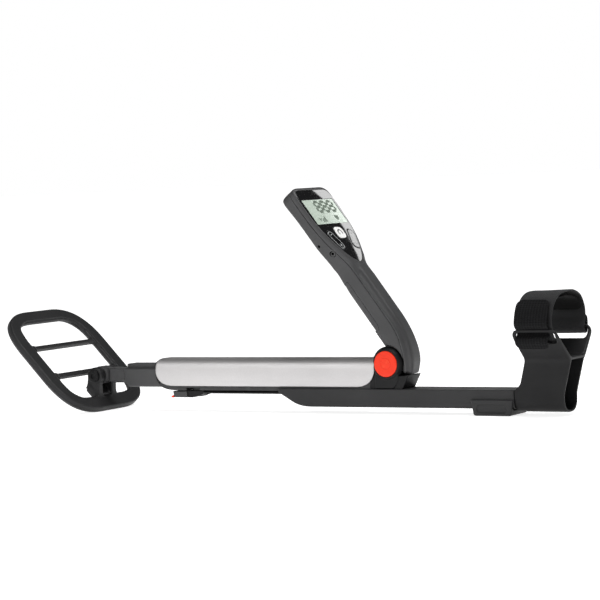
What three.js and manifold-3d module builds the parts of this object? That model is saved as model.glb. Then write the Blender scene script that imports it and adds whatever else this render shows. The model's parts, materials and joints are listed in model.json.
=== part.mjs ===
// A folding handheld metal detector: search coil, telescopic shaft, folding handle with its
// display, and a sliding armrest. Millimetres, +Z up, the coil towards -X, the armrest towards +X.
// Lengths along the shaft are measured from the handle's pivot until the whole model is centred.
import * as THREE from "three";
import { mergeVertices } from "three/addons/utils/BufferGeometryUtils.js";
import Module from "manifold-3d";

const wasm = await Module();
wasm.setup();

// ---- Driving dimensions -------------------------------------------------------------------

const GAP = 0.3;
const FLOOR_Z = -59.5;

const HANDLE_LEAN = THREE.MathUtils.degToRad(53.3);
const COIL_PITCH = THREE.MathUtils.degToRad(46);

const COVER = { front: -330, rear: -16.5, top: 6.8, bottom: -27.9, half: 17.5, wall: 1.5 };
const CHASSIS = { front: -324.7, rear: -24.3, top: 5, bottom: -33.3, half: 15.7, wall: 1.5 };
const TUBE = { front: -381, rear: -45, top: -6.1, bottom: -29.7, half: 12.5, wall: 2 };
const RIDGE = { half: 5, top: -0.3 };
const NECK = { top: -6.8, bottom: -23.4, half: 11 };

const COIL = { front: -128, rear: 40, half: 85, corner: 60, top: -14, bottom: -26, seam: -20.3, chamfer: 4 };
// The hinge is as high as it must be for the tilted coil's rear edge to stand on the floor.
const COIL_DROP = COIL.rear * Math.sin(COIL_PITCH) - (COIL.bottom + COIL.chamfer) * Math.cos(COIL_PITCH);
const COIL_HINGE = { x: -422, z: FLOOR_Z + COIL_DROP, barrel: 11, boltRadius: 4 };
const EAR = { inner: 9.6, outer: 19.5, radius: 10.5 };

const DRUM = { base: 21, face: 17.3, side: 20.5, cheekInner: 12.6, cheekOuter: 17.5, floor: 14.6 };
const BUTTON = { radius: 15.4, face: 21.3, back: 17.6 };
const AXLE_RADIUS = 5;

const GRIP = { front: 9.2, back: 42.2, half: 16.5, tongue: 12.2, wall: 1.9 };
const POD = { tip: 118, top: 233, half: 42, wall: 2.4, back: 40.5, ledge: 36.2, panel: 38.2 };
const SEAM = 33.5;
const DOOR = { start: 37, end: 107, side: 19.5 };
const CELL = { radius: 7.05, length: 50, start: 46 };

const RAIL = { half: 15.2, top: -35.2, bottom: -36.8 };
const TRAY = { front: -151.5, rear: 165, top: -29.3, bottom: -52.5, half: 18.5, wall: 2, lip: 5, slope: 31.5 };
const CUFF = { bottom: -56, waist: 6, rim: 41, rimHalf: 46, wall: 2.6 };
const STRAP = { front: 185, rear: 229.5, top: 82, half: 41.5, thick: 2.6 };

// ---- Finishes -----------------------------------------------------------------------------

const FINISHES = {
  blackPlastic: { color: 0x2b2c2d, roughness: 0.55, metalness: 0 },
  shaftPlastic: { color: 0x353637, roughness: 0.5, metalness: 0 },
  silverPaint: { color: 0xd3d4d6, roughness: 0.35, metalness: 0.6 },
  orangePlastic: { color: 0xee4a2a, roughness: 0.4, metalness: 0 },
  glossBlack: { color: 0x0c0d0e, roughness: 0.1, metalness: 0 },
  display: { color: 0xaebbab, roughness: 0.2, metalness: 0 },
  whiteRubber: { color: 0xf0f0ee, roughness: 0.6, metalness: 0 },
  blackRubber: { color: 0x18191a, roughness: 0.8, metalness: 0 },
  steel: { color: 0xa9abad, roughness: 0.3, metalness: 1 },
  copper: { color: 0xb06c3a, roughness: 0.4, metalness: 1 },
  cell: { color: 0x4d5a66, roughness: 0.4, metalness: 0.2 },
  board: { color: 0x1f4a2c, roughness: 0.6, metalness: 0 },
  webbing: { color: 0x1b1c1d, roughness: 0.95, metalness: 0 },
};

// ---- Solids -------------------------------------------------------------------------------

const X_AXIS = new THREE.Vector3(1, 0, 0);
const Y_AXIS = new THREE.Vector3(0, 1, 0);
const Z_AXIS = new THREE.Vector3(0, 0, 1);

function toSolid(geometry) {
  const bare = geometry.clone();
  bare.deleteAttribute("normal");
  bare.deleteAttribute("uv");
  const merged = mergeVertices(bare, 1e-3);
  const vertProperties = new Float32Array(merged.attributes.position.array);
  const triVerts = new Uint32Array(merged.index.array);
  return new wasm.Manifold(new wasm.Mesh({ numProp: 3, vertProperties, triVerts }));
}

function toGeometry(solid) {
  const { vertProperties, triVerts } = solid.getMesh();
  const geometry = new THREE.BufferGeometry();
  geometry.setAttribute("position", new THREE.BufferAttribute(vertProperties, 3));
  geometry.setIndex(new THREE.BufferAttribute(triVerts, 1));
  return geometry;
}

const join = (first, ...others) => others.reduce((whole, next) => whole.add(next), first);
const cut = (solid, ...tools) => tools.reduce((rest, tool) => rest.subtract(tool), solid);

function piece(name, solid, finish) {
  const mesh = new THREE.Mesh(toGeometry(solid), new THREE.MeshStandardMaterial(FINISHES[finish]));
  mesh.name = name;
  return mesh;
}

// A closed outline through corners [x, y, reach]; a corner with a reach is rounded off over it.
function outline(corners) {
  const shape = new THREE.Shape();
  const points = corners.map(([x, y]) => new THREE.Vector2(x, y));
  corners.forEach(([x, y, reach = 0], i) => {
    const before = points.at(i - 1).clone().sub(points[i]);
    const after = points[(i + 1) % points.length].clone().sub(points[i]);
    const from = points[i].clone().add(before.setLength(Math.min(reach, before.length() / 2)));
    const to = points[i].clone().add(after.setLength(Math.min(reach, after.length() / 2)));
    if (i === 0) shape.moveTo(from.x, from.y);
    else shape.lineTo(from.x, from.y);
    if (reach > 0) shape.quadraticCurveTo(x, y, to.x, to.y);
  });
  return shape;
}

// A rectangle from (x0, y0) to (x1, y1): reach0 rounds its two lower corners, reach1 its upper.
const rectangle = (x0, y0, x1, y1, reach0 = 0, reach1 = reach0) =>
  outline([[x0, y0, reach0], [x1, y0, reach0], [x1, y1, reach1], [x0, y1, reach1]]);

const circle = (x, y, radius) => new THREE.Shape().absarc(x, y, radius, 0, 2 * Math.PI);

function prism(shape, depth, curveSegments, placing) {
  const options = { depth, curveSegments, bevelEnabled: false };
  return toSolid(new THREE.ExtrudeGeometry(shape, options).applyMatrix4(placing));
}

// Prisms of a shape drawn in the YZ, XZ or XY plane, along the remaining axis.
function prismX(shape, x0, x1, segments = 4) {
  const placing = new THREE.Matrix4().makeBasis(Y_AXIS, Z_AXIS, X_AXIS).setPosition(x0, 0, 0);
  return prism(shape, x1 - x0, segments, placing);
}

function prismY(shape, y0, y1, segments = 4) {
  const towards = Y_AXIS.clone().negate();
  const placing = new THREE.Matrix4().makeBasis(X_AXIS, Z_AXIS, towards).setPosition(0, y1, 0);
  return prism(shape, y1 - y0, segments, placing);
}

function prismZ(shape, z0, z1, segments = 4) {
  return prism(shape, z1 - z0, segments, new THREE.Matrix4().makeTranslation(0, 0, z0));
}

const block = (x0, x1, y0, y1, z0, z1) => prismZ(rectangle(x0, y0, x1, y1), z0, z1);
const rodY = (radius, y0, y1, x = 0, z = 0, segments = 24) =>
  prismY(circle(x, z, radius), y0, y1, segments);
const tubeY = (outer, inner, y0, y1, x = 0, z = 0) =>
  cut(rodY(outer, y0, y1, x, z), rodY(inner, y0 - 1, y1 + 1, x, z));

// A body turned round the Y axis, from [radius, y] corners that start and end on the axis.
const turnedY = (profile, segments = 32) =>
  toSolid(new THREE.LatheGeometry(profile.map(([r, y]) => new THREE.Vector2(r, y)), segments));

// ---- Search coil, flat in its own frame with the hinge axis at the origin --------------------

function coilOutline(inset) {
  const { front, rear, half, corner } = COIL;
  const reach = corner - inset;
  return rectangle(front + inset, -half + inset, rear - inset, half - inset, reach);
}

const CABLE_WEB = { front: 2, rear: 26, half: 20 };

// Three windows between the coil's limbs; the two bars between them are in the upper shell only.
function coilWindows() {
  const half = 63;
  const outlines = [
    outline([[-18, -half, 4], [19.5, -half, 30], [19.5, half, 30], [-18, half, 4]]),
    rectangle(-66, -half, -23, half, 4),
    outline([[-110, -half, 34], [-70.5, -half, 4], [-70.5, half, 4], [-110, half, 34]]),
  ];
  const windows = outlines.map((shape) => prismZ(shape, COIL.seam - 1, COIL.top + 1));
  return [windows[0].subtract(cableWeb()), windows[1], windows[2]];
}

function cableWeb() {
  const { front, rear, half } = CABLE_WEB;
  return block(front, rear, -half, half, COIL.bottom - 2, COIL.top + 2);
}

function coverWindow() {
  const half = 65.5;
  const shape = outline([[-112, -half, 36], [22, -half, 32], [22, half, 32], [-112, half, 36]]);
  return prismZ(shape, COIL.bottom - 1, COIL.seam + 1).subtract(cableWeb());
}

function coilEnvelope() {
  const { top, bottom, chamfer } = COIL;
  const options = {
    depth: top - bottom - 2 * chamfer,
    curveSegments: 8,
    bevelSegments: 1,
    bevelThickness: chamfer,
    bevelSize: chamfer,
    bevelOffset: -chamfer,
  };
  const shape = new THREE.ExtrudeGeometry(coilOutline(0), options);
  return toSolid(shape.translate(0, 0, bottom + chamfer));
}

function coilEar(y0, y1) {
  const flank = outline([[-9.3, -4.8], [1, -19], [27, -19], [22, -13.5, 3], [10.4, -2]]);
  return join(rodY(EAR.radius, y0, y1), prismY(flank, y0, y1));
}

function coilRing(inset0, inset1, z0, z1) {
  return cut(prismZ(coilOutline(inset0), z0, z1, 8), prismZ(coilOutline(inset1), z0 - 1, z1 + 1, 8));
}

function coilUpperShell() {
  const slab = coilEnvelope().intersect(block(-200, 100, -100, 100, COIL.seam, COIL.top + 1));
  const plate = cut(slab, ...coilWindows());
  const ears = [coilEar(EAR.inner, EAR.outer), coilEar(-EAR.outer, -EAR.inner)];
  const groove = coilRing(8.2, 13.8, COIL.seam - 1, -16.2);
  const boltHole = rodY(COIL_HINGE.boltRadius + 0.2, -30, 30);
  return piece("coil_upper_shell", cut(join(plate, ...ears), groove, boltHole), "blackPlastic");
}

function coilLowerCover() {
  const under = block(-200, 100, -100, 100, COIL.bottom - 1, COIL.seam - GAP);
  return piece("coil_lower_cover", coilEnvelope().intersect(under).subtract(coverWindow()), "blackPlastic");
}

function coilHingeBolt() {
  const { boltRadius } = COIL_HINGE;
  const head = turnedY([[0, -23.5], [5, -23.2], [7.6, -21.6], [7.6, -EAR.outer - GAP], [0, -EAR.outer - GAP]]);
  return piece("coil_hinge_bolt", join(head, rodY(boltRadius, -EAR.outer - 1, 22.5)), "blackPlastic");
}

function coilHingeNut() {
  const nut = prismY(circle(0, 0, 7.6), EAR.outer + GAP, 24, 6);
  return piece("coil_hinge_nut", nut.subtract(rodY(COIL_HINGE.boltRadius + 0.2, 15, 30)), "blackPlastic");
}

function searchCoil() {
  const group = new THREE.Group();
  const washer = (y0, y1) => tubeY(9, COIL_HINGE.boltRadius + 0.2, y0, y1);
  group.add(
    coilUpperShell(),
    coilLowerCover(),
    piece("coil_winding", coilRing(8.6, 13.4, COIL.seam + 0.4, -16.5), "copper"),
    coilHingeBolt(),
    coilHingeNut(),
    piece("hinge_washer_near", washer(-9.45, -9.1), "blackRubber"),
    piece("hinge_washer_far", washer(9.1, 9.45), "blackRubber"),
  );
  group.position.set(COIL_HINGE.x, 0, COIL_HINGE.z);
  group.rotation.y = COIL_PITCH;
  return group;
}

// ---- Lower shaft, which slides in the main shaft ----------------------------------------------

function tubeOutline(grow) {
  const { top, bottom, half } = TUBE;
  const ridgeHalf = RIDGE.half + grow;
  return outline([
    [-half - grow, bottom - grow, 3],
    [half + grow, bottom - grow, 3],
    [half + grow, top + grow, 3],
    [ridgeHalf, top + grow],
    [ridgeHalf, RIDGE.top + grow, 1],
    [-ridgeHalf, RIDGE.top + grow, 1],
    [-ridgeHalf, top + grow],
    [-half - grow, top + grow, 3],
  ]);
}

function tubeBore(shrink = 0) {
  const { top, bottom, half, wall } = TUBE;
  const inset = wall + shrink;
  return rectangle(-half + inset, bottom + inset, half - inset, top - inset, 2);
}

function lowerShaftTube() {
  const { front, rear, bottom } = TUBE;
  const heel = outline([[front - 1, bottom - 1], [front + 16, bottom - 1], [front - 1, NECK.bottom]]);
  const tube = cut(prismX(tubeOutline(0), front, rear), prismX(tubeBore(), front - 1, rear + 1));
  return piece("lower_shaft_tube", tube.subtract(prismY(heel, -30, 30)), "shaftPlastic");
}

function shaftKnuckle() {
  const { x, z, barrel, boltRadius } = COIL_HINGE;
  const cheek = 8.9;
  const neckShape = rectangle(-NECK.half, NECK.bottom, NECK.half, NECK.top, 2);
  const spigotFloor = NECK.bottom + 1;
  const spigotShape = rectangle(-TUBE.half + 2.4, spigotFloor, TUBE.half - 2.4, TUBE.top - 2.4, 2);
  const solid = join(
    rodY(barrel, -cheek, cheek, x, z),
    block(x, x + 19, -cheek, cheek, NECK.bottom, NECK.top),
    prismX(neckShape, x + 17, TUBE.front - GAP),
    prismX(spigotShape, TUBE.front - 1, TUBE.front + 34),
  );
  return piece("shaft_knuckle", solid.subtract(rodY(boltRadius + GAP, -20, 20, x, z)), "blackPlastic");
}

function shaftGuide() {
  const flange = prismX(rectangle(-13.8, -31, 13.8, 2.6, 3, 6.5), TUBE.rear + GAP, TUBE.rear + 7);
  const spigot = prismX(tubeBore(0.4), TUBE.rear - 17, TUBE.rear + 1);
  const cableWay = prismX(circle(0, -16, 4), TUBE.rear - 20, TUBE.rear + 10, 16);
  return piece("shaft_guide", join(flange, spigot).subtract(cableWay), "blackPlastic");
}

// ---- Main shaft --------------------------------------------------------------------------------

// The side outline of the silver cover, grown evenly by a margin.
function coverOutline(grow) {
  const { front, rear, top, bottom } = COVER;
  return outline([
    [front - grow, bottom - grow, 26],
    [rear + grow, bottom - grow, 24],
    [rear + grow, top + grow, 4],
    [front - grow, top + grow, 10],
  ]);
}

// The cover is a thin shell open below and at both ends, thickened by a margin on every side.
function coverShell(grow) {
  const { front, rear, top, bottom, half, wall } = COVER;
  const outerHalf = half + grow;
  const innerHalf = half - wall - grow;
  const outerSection = rectangle(-outerHalf, bottom - 2, outerHalf, top + grow, 0, 9);
  const innerSection = rectangle(-innerHalf, bottom - 3, innerHalf, top - wall - grow, 0, 7.5);
  const outer = prismX(outerSection, front - 1, rear + 1, 6).intersect(prismY(coverOutline(grow), -30, 30, 8));
  return outer.subtract(prismX(innerSection, front - 2, rear + 2, 6));
}

const silverCover = () => piece("silver_cover", coverShell(0), "silverPaint");

// Everything black inside the cover stays behind this rounded nose.
function noseEnvelope() {
  const nose = COVER.front - 1.5;
  return prismY(outline([[nose, CHASSIS.bottom, 32], [20, CHASSIS.bottom], [20, 5.8], [nose, 5.8, 9]]), -30, 30, 8);
}

const CAM_SLOT = { front: -286, rear: -266, top: -30 };

const CHASSIS_SECTION = rectangle(-CHASSIS.half, CHASSIS.bottom, CHASSIS.half, CHASSIS.top, 2, 8);

function shaftChassis() {
  const { front, rear, top, bottom, half, wall } = CHASSIS;
  const outer = prismX(CHASSIS_SECTION, front, rear);
  const bore = prismX(rectangle(-half + wall, bottom + 1.8, half - wall, top - 2, 2, 6), front - 1, rear + 1);
  const slot = block(CAM_SLOT.front, CAM_SLOT.rear, -20, 20, bottom - 1, CAM_SLOT.top);
  return piece("shaft_chassis", cut(outer.intersect(noseEnvelope()), bore, slot), "shaftPlastic");
}

function frontCollar() {
  const flange = prismX(rectangle(-15.6, CHASSIS.bottom, 15.6, 4.8, 2, 7), COVER.front - 2, CHASSIS.front - GAP);
  const plug = prismX(rectangle(-13.9, -31.1, 13.9, 2.6, 2, 5.5), CHASSIS.front - 1, -300);
  const solid = join(flange, plug).intersect(noseEnvelope());
  return piece("front_collar", solid.subtract(prismX(tubeOutline(0.35), -340, -290)), "blackPlastic");
}

function slideRail() {
  const tee = outline([
    [-8, CHASSIS.bottom - GAP], [-8, RAIL.top], [-RAIL.half, RAIL.top], [-RAIL.half, RAIL.bottom],
    [RAIL.half, RAIL.bottom], [RAIL.half, RAIL.top], [8, RAIL.top], [8, CHASSIS.bottom - GAP],
  ]);
  return piece("slide_rail", prismX(tee, -261.5, 12), "blackPlastic");
}

// ---- Cam lever under the shaft's front end -------------------------------------------------------

const LEVER_PIN = { x: -276, z: -37.2, radius: 2 };
const LEVER_TIP_X = -306.5;

function leverMount() {
  const bottom = -42;
  const cheek = outline([[-285, -33.6], [-285, -38, 2], [-280, bottom, 2], [-270, bottom, 3], [-262, -36], [-262, -33.6]]);
  const cheeks = [prismY(cheek, -12.4, -8.4), prismY(cheek, 8.4, 12.4)];
  const bridge = block(-266.2, -262, -12.4, 12.4, -36, -33.6);
  const pinHole = rodY(LEVER_PIN.radius + 0.2, -20, 20, LEVER_PIN.x, LEVER_PIN.z, 16);
  return piece("lever_mount", join(...cheeks, bridge).subtract(pinHole), "shaftPlastic");
}

function camLever() {
  const { x, z, radius } = LEVER_PIN;
  const paddle = outline([[LEVER_TIP_X, -39.4, 2], [-303, -35.2, 1], [-286.2, -35.2], [-286.2, -42], [LEVER_TIP_X, -41]]);
  const arm = outline([[-288, -36], [x, -33.5], [x, -41.4], [-288, -42]]);
  const cam = rodY(7.1, -7.6, 7.6, x, z, 20).intersect(block(x - 9, x + 5.5, -8, 8, z - 4.2, z + 9));
  const solid = join(prismY(paddle, -14, 14), prismY(arm, -7.6, 7.6), cam);
  return piece("cam_lever", solid.subtract(rodY(radius + 0.2, -20, 20, x, z, 16)), "shaftPlastic");
}

function camLeverTip() {
  const tip = outline([[-310.5, -42.4, 1], [-310.5, -40.6, 1], [LEVER_TIP_X - GAP, -39.2], [LEVER_TIP_X - GAP, -42.4]]);
  return piece("cam_lever_tip", prismY(tip, -13, 13), "orangePlastic");
}

// ---- Pivot between the main shaft and the handle ------------------------------------------------

// One cheek of the housing with its conical drum; side is -1 near and +1 far.
function cheekAndDrum(side) {
  const { base, face, side: reach, cheekInner, cheekOuter } = DRUM;
  const shape = outline([[-24, 6], [-24, CHASSIS.bottom], [4, CHASSIS.bottom, 9], [15.5, -19, 7], [12, 0]]);
  const span = (y0, y1) => (side < 0 ? [-y1, -y0] : [y0, y1]);
  const aboveTray = block(-60, 60, -30, 30, TRAY.top + GAP, 60);
  const wide = prismY(shape, ...span(cheekInner, cheekOuter)).intersect(aboveTray);
  const outside = wide.subtract(prismY(coverOutline(GAP), -30, 30, 8));
  const inside = prismY(shape, ...span(cheekInner, CHASSIS.half)).intersect(prismX(CHASSIS_SECTION, -60, 60));
  const drum = turnedY([[0, cheekInner], [base, cheekInner], [face, reach], [0, reach]]);
  const placed = side < 0 ? drum.mirror([0, 1, 0]) : drum;
  return join(inside, outside, placed).subtract(coverShell(GAP));
}

function hingeHousing() {
  const { cheekInner, floor } = DRUM;
  const base = block(-24, 13, -cheekInner - 0.5, cheekInner + 0.5, CHASSIS.bottom, -19.5);
  const frontWall = block(-24, -20.5, -cheekInner - 0.5, cheekInner + 0.5, CHASSIS.bottom, 3.6);
  const solid = join(cheekAndDrum(-1), cheekAndDrum(1), base, frontWall);
  const pockets = [rodY(BUTTON.radius + GAP, -30, -floor, 0, 0, 32), rodY(BUTTON.radius + GAP, floor, 30, 0, 0, 32)];
  const axleHole = rodY(AXLE_RADIUS + 0.2, -30, 30);
  const gearPocket = rodY(9.8, -13.6, -10);
  return piece("hinge_housing", cut(solid, ...pockets, axleHole, gearPocket), "blackPlastic");
}

function releaseButton() {
  const { radius, face, back } = BUTTON;
  const body = turnedY([[0, -face], [radius - 1.2, -face], [radius, -face + 1], [radius, -back], [0, -back]]);
  return piece("release_button", body, "orangePlastic");
}

function pivotCap() {
  const { radius, back } = BUTTON;
  const cap = turnedY([[0, DRUM.floor + GAP], [radius, DRUM.floor + GAP], [radius, back + 2], [radius - 1.5, back + 3], [0, back + 3]]);
  return piece("pivot_cap", cap, "blackPlastic");
}

function mainShaft() {
  const group = new THREE.Group();
  const { x, z, radius } = LEVER_PIN;
  group.add(
    silverCover(),
    shaftChassis(),
    frontCollar(),
    slideRail(),
    leverMount(),
    piece("lever_pin", rodY(radius, -12, 12, x, z, 12), "steel"),
    hingeHousing(),
    piece("pivot_axle", rodY(AXLE_RADIUS, -DRUM.floor, DRUM.floor), "steel"),
    pivotCap(),
    piece("button_spring", tubeY(13, 10, -DRUM.floor - 1, -DRUM.floor - GAP), "steel"),
  );
  return group;
}

// ---- Handle, drawn folded flat: length along -X from the pivot, the display facing up -------------

const HANDLE_SECTION = rectangle(-GRIP.half, GRIP.front, GRIP.half, GRIP.back, 9, 10.7);

function gripOutline() {
  const { front, back } = GRIP;
  return outline([
    [-135, front],
    [-135, POD.back],
    [-120, POD.back, 8],
    [-104, back, 8],
    [-20, back, 22],
    [14, 30.5, 16],
    [25, 12.5, 3],
    [22.9, 7.8, 1],
    [0, front],
  ]);
}

function podPlan(inset) {
  const half = POD.half - inset;
  const reach = 16 - inset / 2;
  return outline([
    [-POD.top + inset, -half, reach],
    [-165, -half + 1, 34],
    [-122, -GRIP.half - 1 + inset, 20],
    [-104, -GRIP.half + inset],
    [-104, GRIP.half - inset],
    [-122, GRIP.half + 1 - inset, 20],
    [-165, half - 1, 34],
    [-POD.top + inset, half, reach],
  ]);
}

function podSide(inset, roof) {
  const end = -POD.top + inset;
  return outline([
    [-104, roof],
    [-104, GRIP.front + inset],
    [-133, 16 + inset, 12],
    [-185, 25.5 + inset, 20],
    [end + 4, 26 + inset, 3],
    [end, 32, 3],
    [end, roof],
  ]);
}

const podSolid = (inset, roof) =>
  prismZ(podPlan(inset), 0, 60, 6).intersect(prismY(podSide(inset, roof), -60, 60));

function handleBody() {
  const grip = prismY(gripOutline(), -30, 30, 6).intersect(prismX(HANDLE_SECTION, -140, 40, 5));
  const tongue = rodY(17.5, -GRIP.tongue, GRIP.tongue);
  const neck = block(-40, 0, -GRIP.tongue, GRIP.tongue, 8, 20);
  const drumRoom = [rodY(DRUM.base + 0.7, GRIP.tongue, 40, 0, 0, 32), rodY(DRUM.base + 0.7, -40, -GRIP.tongue, 0, 0, 32)];
  return join(cut(join(grip, podSolid(0, POD.back)), ...drumRoom), tongue, neck.intersect(grip));
}

function handleHollow() {
  const { half, front, back, wall } = GRIP;
  const section = rectangle(-half + wall, front + wall, half - wall, back - wall, 5, 8);
  const grip = prismX(section, -138, -27).intersect(block(-140, 0, -60, 60, 0, POD.back - wall));
  const deep = prismX(section, -103, -27);
  return join(grip, deep, podSolid(POD.wall, POD.ledge));
}

// The outline of the display panel on the pod's face.
function panelPlan(inset) {
  const half = 39.5 - inset;
  return outline([
    [-POD.top + 5 + inset, -half, 13],
    [-167, -half + 1, 34],
    [-126 - inset, -13 + inset / 2, 9],
    [-POD.tip - inset, 0, 8],
    [-126 - inset, 13 - inset / 2, 9],
    [-167, half - 1, 34],
    [-POD.top + 5 + inset, half, 13],
  ]);
}

// The rear shell takes everything beyond this line; the line runs round the drum at the pivot.
function seamRegion(shift) {
  const seam = SEAM + shift;
  const round = 23.5 + shift;
  return prismY(outline([
    [-300, 80], [-300, seam], [-20, seam, 14], [4, round, 8], [round * 0.8, round * 0.62, 6],
    [round, round * 0.2, 4], [round - 1, -10], [60, -10], [60, 80],
  ]), -60, 60);
}

function doorRegion(grow) {
  const { start, end, side } = DOOR;
  const corners = [[-start + grow, -5], [-start + grow, side + grow, 9], [-end - grow, side + grow], [-end - grow, -5]];
  return prismY(outline(corners), -40, 40);
}

function handleShells() {
  const hollow = handleHollow();
  const shell = handleBody().subtract(hollow);
  const axleHole = rodY(AXLE_RADIUS + 0.3, -30, 30);
  const gearPocket = rodY(9.8, -20, -7);
  const panelSeat = prismZ(panelPlan(-GAP), POD.panel, 60, 6);
  const panelHole = prismZ(panelPlan(3), 30, 60, 6);
  const socketHole = rodY(3.4, -60, -14, -141, 29.6, 16);
  const front = cut(shell, seamRegion(-GAP / 2), axleHole, gearPocket, doorRegion(0), socketHole);
  const keyHoles = KEYS.map((spec) => keyShape(spec, 2 * GAP));
  const drumRoom = rodY(22.3, -40, 40, 0, 0, 32);
  const rear = cut(shell.intersect(seamRegion(GAP / 2)), panelSeat, panelHole, drumRoom, ...keyHoles);
  const door = shell.intersect(doorRegion(-GAP));
  return {
    front: piece("handle_front_shell", front, "blackPlastic"),
    rear: piece("handle_rear_shell", rear, "blackPlastic"),
    door: piece("battery_door", door, "blackPlastic"),
  };
}

const LCD = { front: -214, rear: -177, half: 35.5 };

// A key's outline on the panel: the centre key, or a capsule leaning with the panel's edge.
function keyShape(key, grow) {
  const halfLength = key.length / 2 + grow;
  const halfWidth = key.width / 2 + grow;
  const shape = rectangle(-halfLength, -halfWidth, halfLength, halfWidth, key.corner);
  return prismZ(shape, POD.ledge, 60, 5).rotate([0, 0, key.turn]).translate([key.x, key.y, 0]);
}

const KEYS = [
  { name: "key_centre", x: -163.5, y: 0, length: 16.4, width: 18.5, corner: 6, turn: 0, finish: "whiteRubber" },
  { name: "key_near", x: -153, y: -20.5, length: 29, width: 13, corner: 6.4, turn: 24, finish: "glossBlack" },
  { name: "key_far", x: -153, y: 20.5, length: 29, width: 13, corner: 6.4, turn: -24, finish: "glossBlack" },
];
const KEY_TOP = POD.back + 0.4;

function facePanel() {
  const plate = prismZ(panelPlan(0), POD.panel + 0.2, POD.back - 0.3, 6);
  const display = prismZ(rectangle(LCD.front, -LCD.half, LCD.rear, LCD.half, 1), 30, 60);
  return piece("face_panel", cut(plate, display, ...KEYS.map((key) => keyShape(key, GAP))), "glossBlack");
}

const key = (spec) =>
  piece(spec.name, keyShape(spec, 0).intersect(block(-240, 0, -60, 60, POD.ledge + 0.4, KEY_TOP)), spec.finish);

function lcdPane() {
  const pane = rectangle(LCD.front + GAP, -LCD.half + GAP, LCD.rear - GAP, LCD.half - GAP, 1);
  return piece("lcd_pane", prismZ(pane, POD.panel + 0.2, POD.back - 0.6), "display");
}

function battery(name, y, z) {
  const can = prismX(circle(y, z, CELL.radius), -CELL.start - CELL.length, -CELL.start - 1.2, 20);
  const nub = prismX(circle(y, z, 2.7), -CELL.start - 2, -CELL.start, 12);
  return piece(name, join(can, nub), "cell");
}

function headphoneSocket() {
  return piece("headphone_socket", tubeY(3.1, 1.75, -27, -18, -141, 29.6), "blackPlastic");
}

function handleInterior() {
  const rows = [18.5, 32.9];
  const cells = rows.flatMap((z, row) => [-7.2, 7.2].map((y, i) => battery(`battery_${2 * row + i + 1}`, y, z)));
  const contact = (x) => block(x, x + 1, -11.5, 11.5, 14, 37);
  return [
    ...cells,
    piece("battery_contact_upper", contact(-CELL.start - CELL.length - 1.4), "steel"),
    piece("battery_contact_lower", contact(-CELL.start + 0.4), "steel"),
    piece("circuit_board", prismZ(rectangle(-226, -35.5, -168, 35.5, 6), 30.6, 32.2), "board"),
    piece("lcd_module", block(LCD.front - 1, LCD.rear + 1, -36.5, 36.5, 32.6, 35.8), "steel"),
    piece("speaker", prismZ(circle(-158, 0, 13), 26.2, 30.2, 20), "blackRubber"),
    headphoneSocket(),
  ];
}

// ---- Armrest, which slides under the shaft ------------------------------------------------------

function armrestTray() {
  const { front, rear, top, bottom, half, wall, lip, slope } = TRAY;
  const side = outline([[front, top], [front, top - lip], [front + slope, bottom, 14], [rear, bottom], [rear, top]]);
  const section = rectangle(-half, bottom, half, top, 7, 1);
  const outer = prismX(section, front, rear).intersect(prismY(side, -30, 30));
  const channelSide = outline([
    [front - 2, 0], [front - 2, top - lip], [front + slope, bottom + wall, 14],
    [rear + 1, bottom + wall], [rear + 1, 0],
  ]);
  const channelSection = rectangle(-half + wall, bottom + wall, half - wall, 0, 5.5, 0);
  const channel = prismX(channelSection, front - 5, rear + 5).intersect(prismY(channelSide, -30, 30));
  const railRoom = block(front - 5, rear, -RAIL.half - 0.6, RAIL.half + 0.6, RAIL.bottom - 0.6, 0);
  const ledge = outline([[9, -34.95], [half - 1, -34.95], [half - 1, -33.8], [9, -33.8]]);
  const ledges = prismX(ledge, front + 6, -60).intersect(outer);
  return piece("armrest_tray", join(cut(outer, channel, railRoom), ledges, ledges.mirror([0, 1, 0])), "blackPlastic");
}

// The cuff's section at its widest: a round-bottomed keel, a waist, and two flared wings.
function cuffSection() {
  const { waist, rim, rimHalf, wall } = CUFF;
  const half = TRAY.half;
  const bottom = CUFF.bottom;
  const flank = (side) => [
    [side * half, waist - 2, 4],
    [side * (rimHalf - 1), rim - 9, 6],
    [side * rimHalf, rim],
    [side * (rimHalf - wall), rim],
    [side * (rimHalf - wall - 1), rim - 8, 6],
    [side * (half - 2), waist + 2.4, 5],
  ];
  const right = flank(1);
  const left = flank(-1).reverse();
  return outline([[-half, bottom, 17], [half, bottom, 17], ...right, ...left]);
}

function cuffSide() {
  return outline([
    [TRAY.rear + GAP, CUFF.bottom], [TRAY.rear + GAP, TRAY.top - 1], [173, -23.4, 3], [180.5, 6, 4],
    [178.5, CUFF.rim + 0.5, 9], [236, CUFF.rim + 0.5, 12], [238.5, 7, 3], [227.5, -35, 4], [227.5, CUFF.bottom],
  ]);
}

function armCuff() {
  const { waist, wall } = CUFF;
  const inner = TRAY.half - wall;
  const keel = rectangle(-inner, CUFF.bottom + wall, inner, waist - 1.2, 15, 1);
  const windows = block(183.5, 232, -80, 80, 25, 36);
  const solid = prismX(cuffSection(), 160, 245, 6).intersect(prismY(cuffSide(), -60, 60));
  return piece("arm_cuff", cut(solid, prismX(keel, 150, 260, 6), windows), "blackPlastic");
}

function standFoot() {
  const outer = outline([[110, -40], [113.5, FLOOR_Z, 2], [161.5, FLOOR_Z, 2], [164.5, -40]]);
  const section = rectangle(-21.5, FLOOR_Z - 1, 21.5, -40, 3, 0);
  const seat = prismX(rectangle(-TRAY.half - GAP, TRAY.bottom - GAP, TRAY.half + GAP, 0, 7.2, 0), 100, 180);
  const solid = prismX(section, 100, 180).intersect(prismY(outer, -30, 30));
  return piece("stand_foot", cut(solid, seat), "blackPlastic");
}

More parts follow.
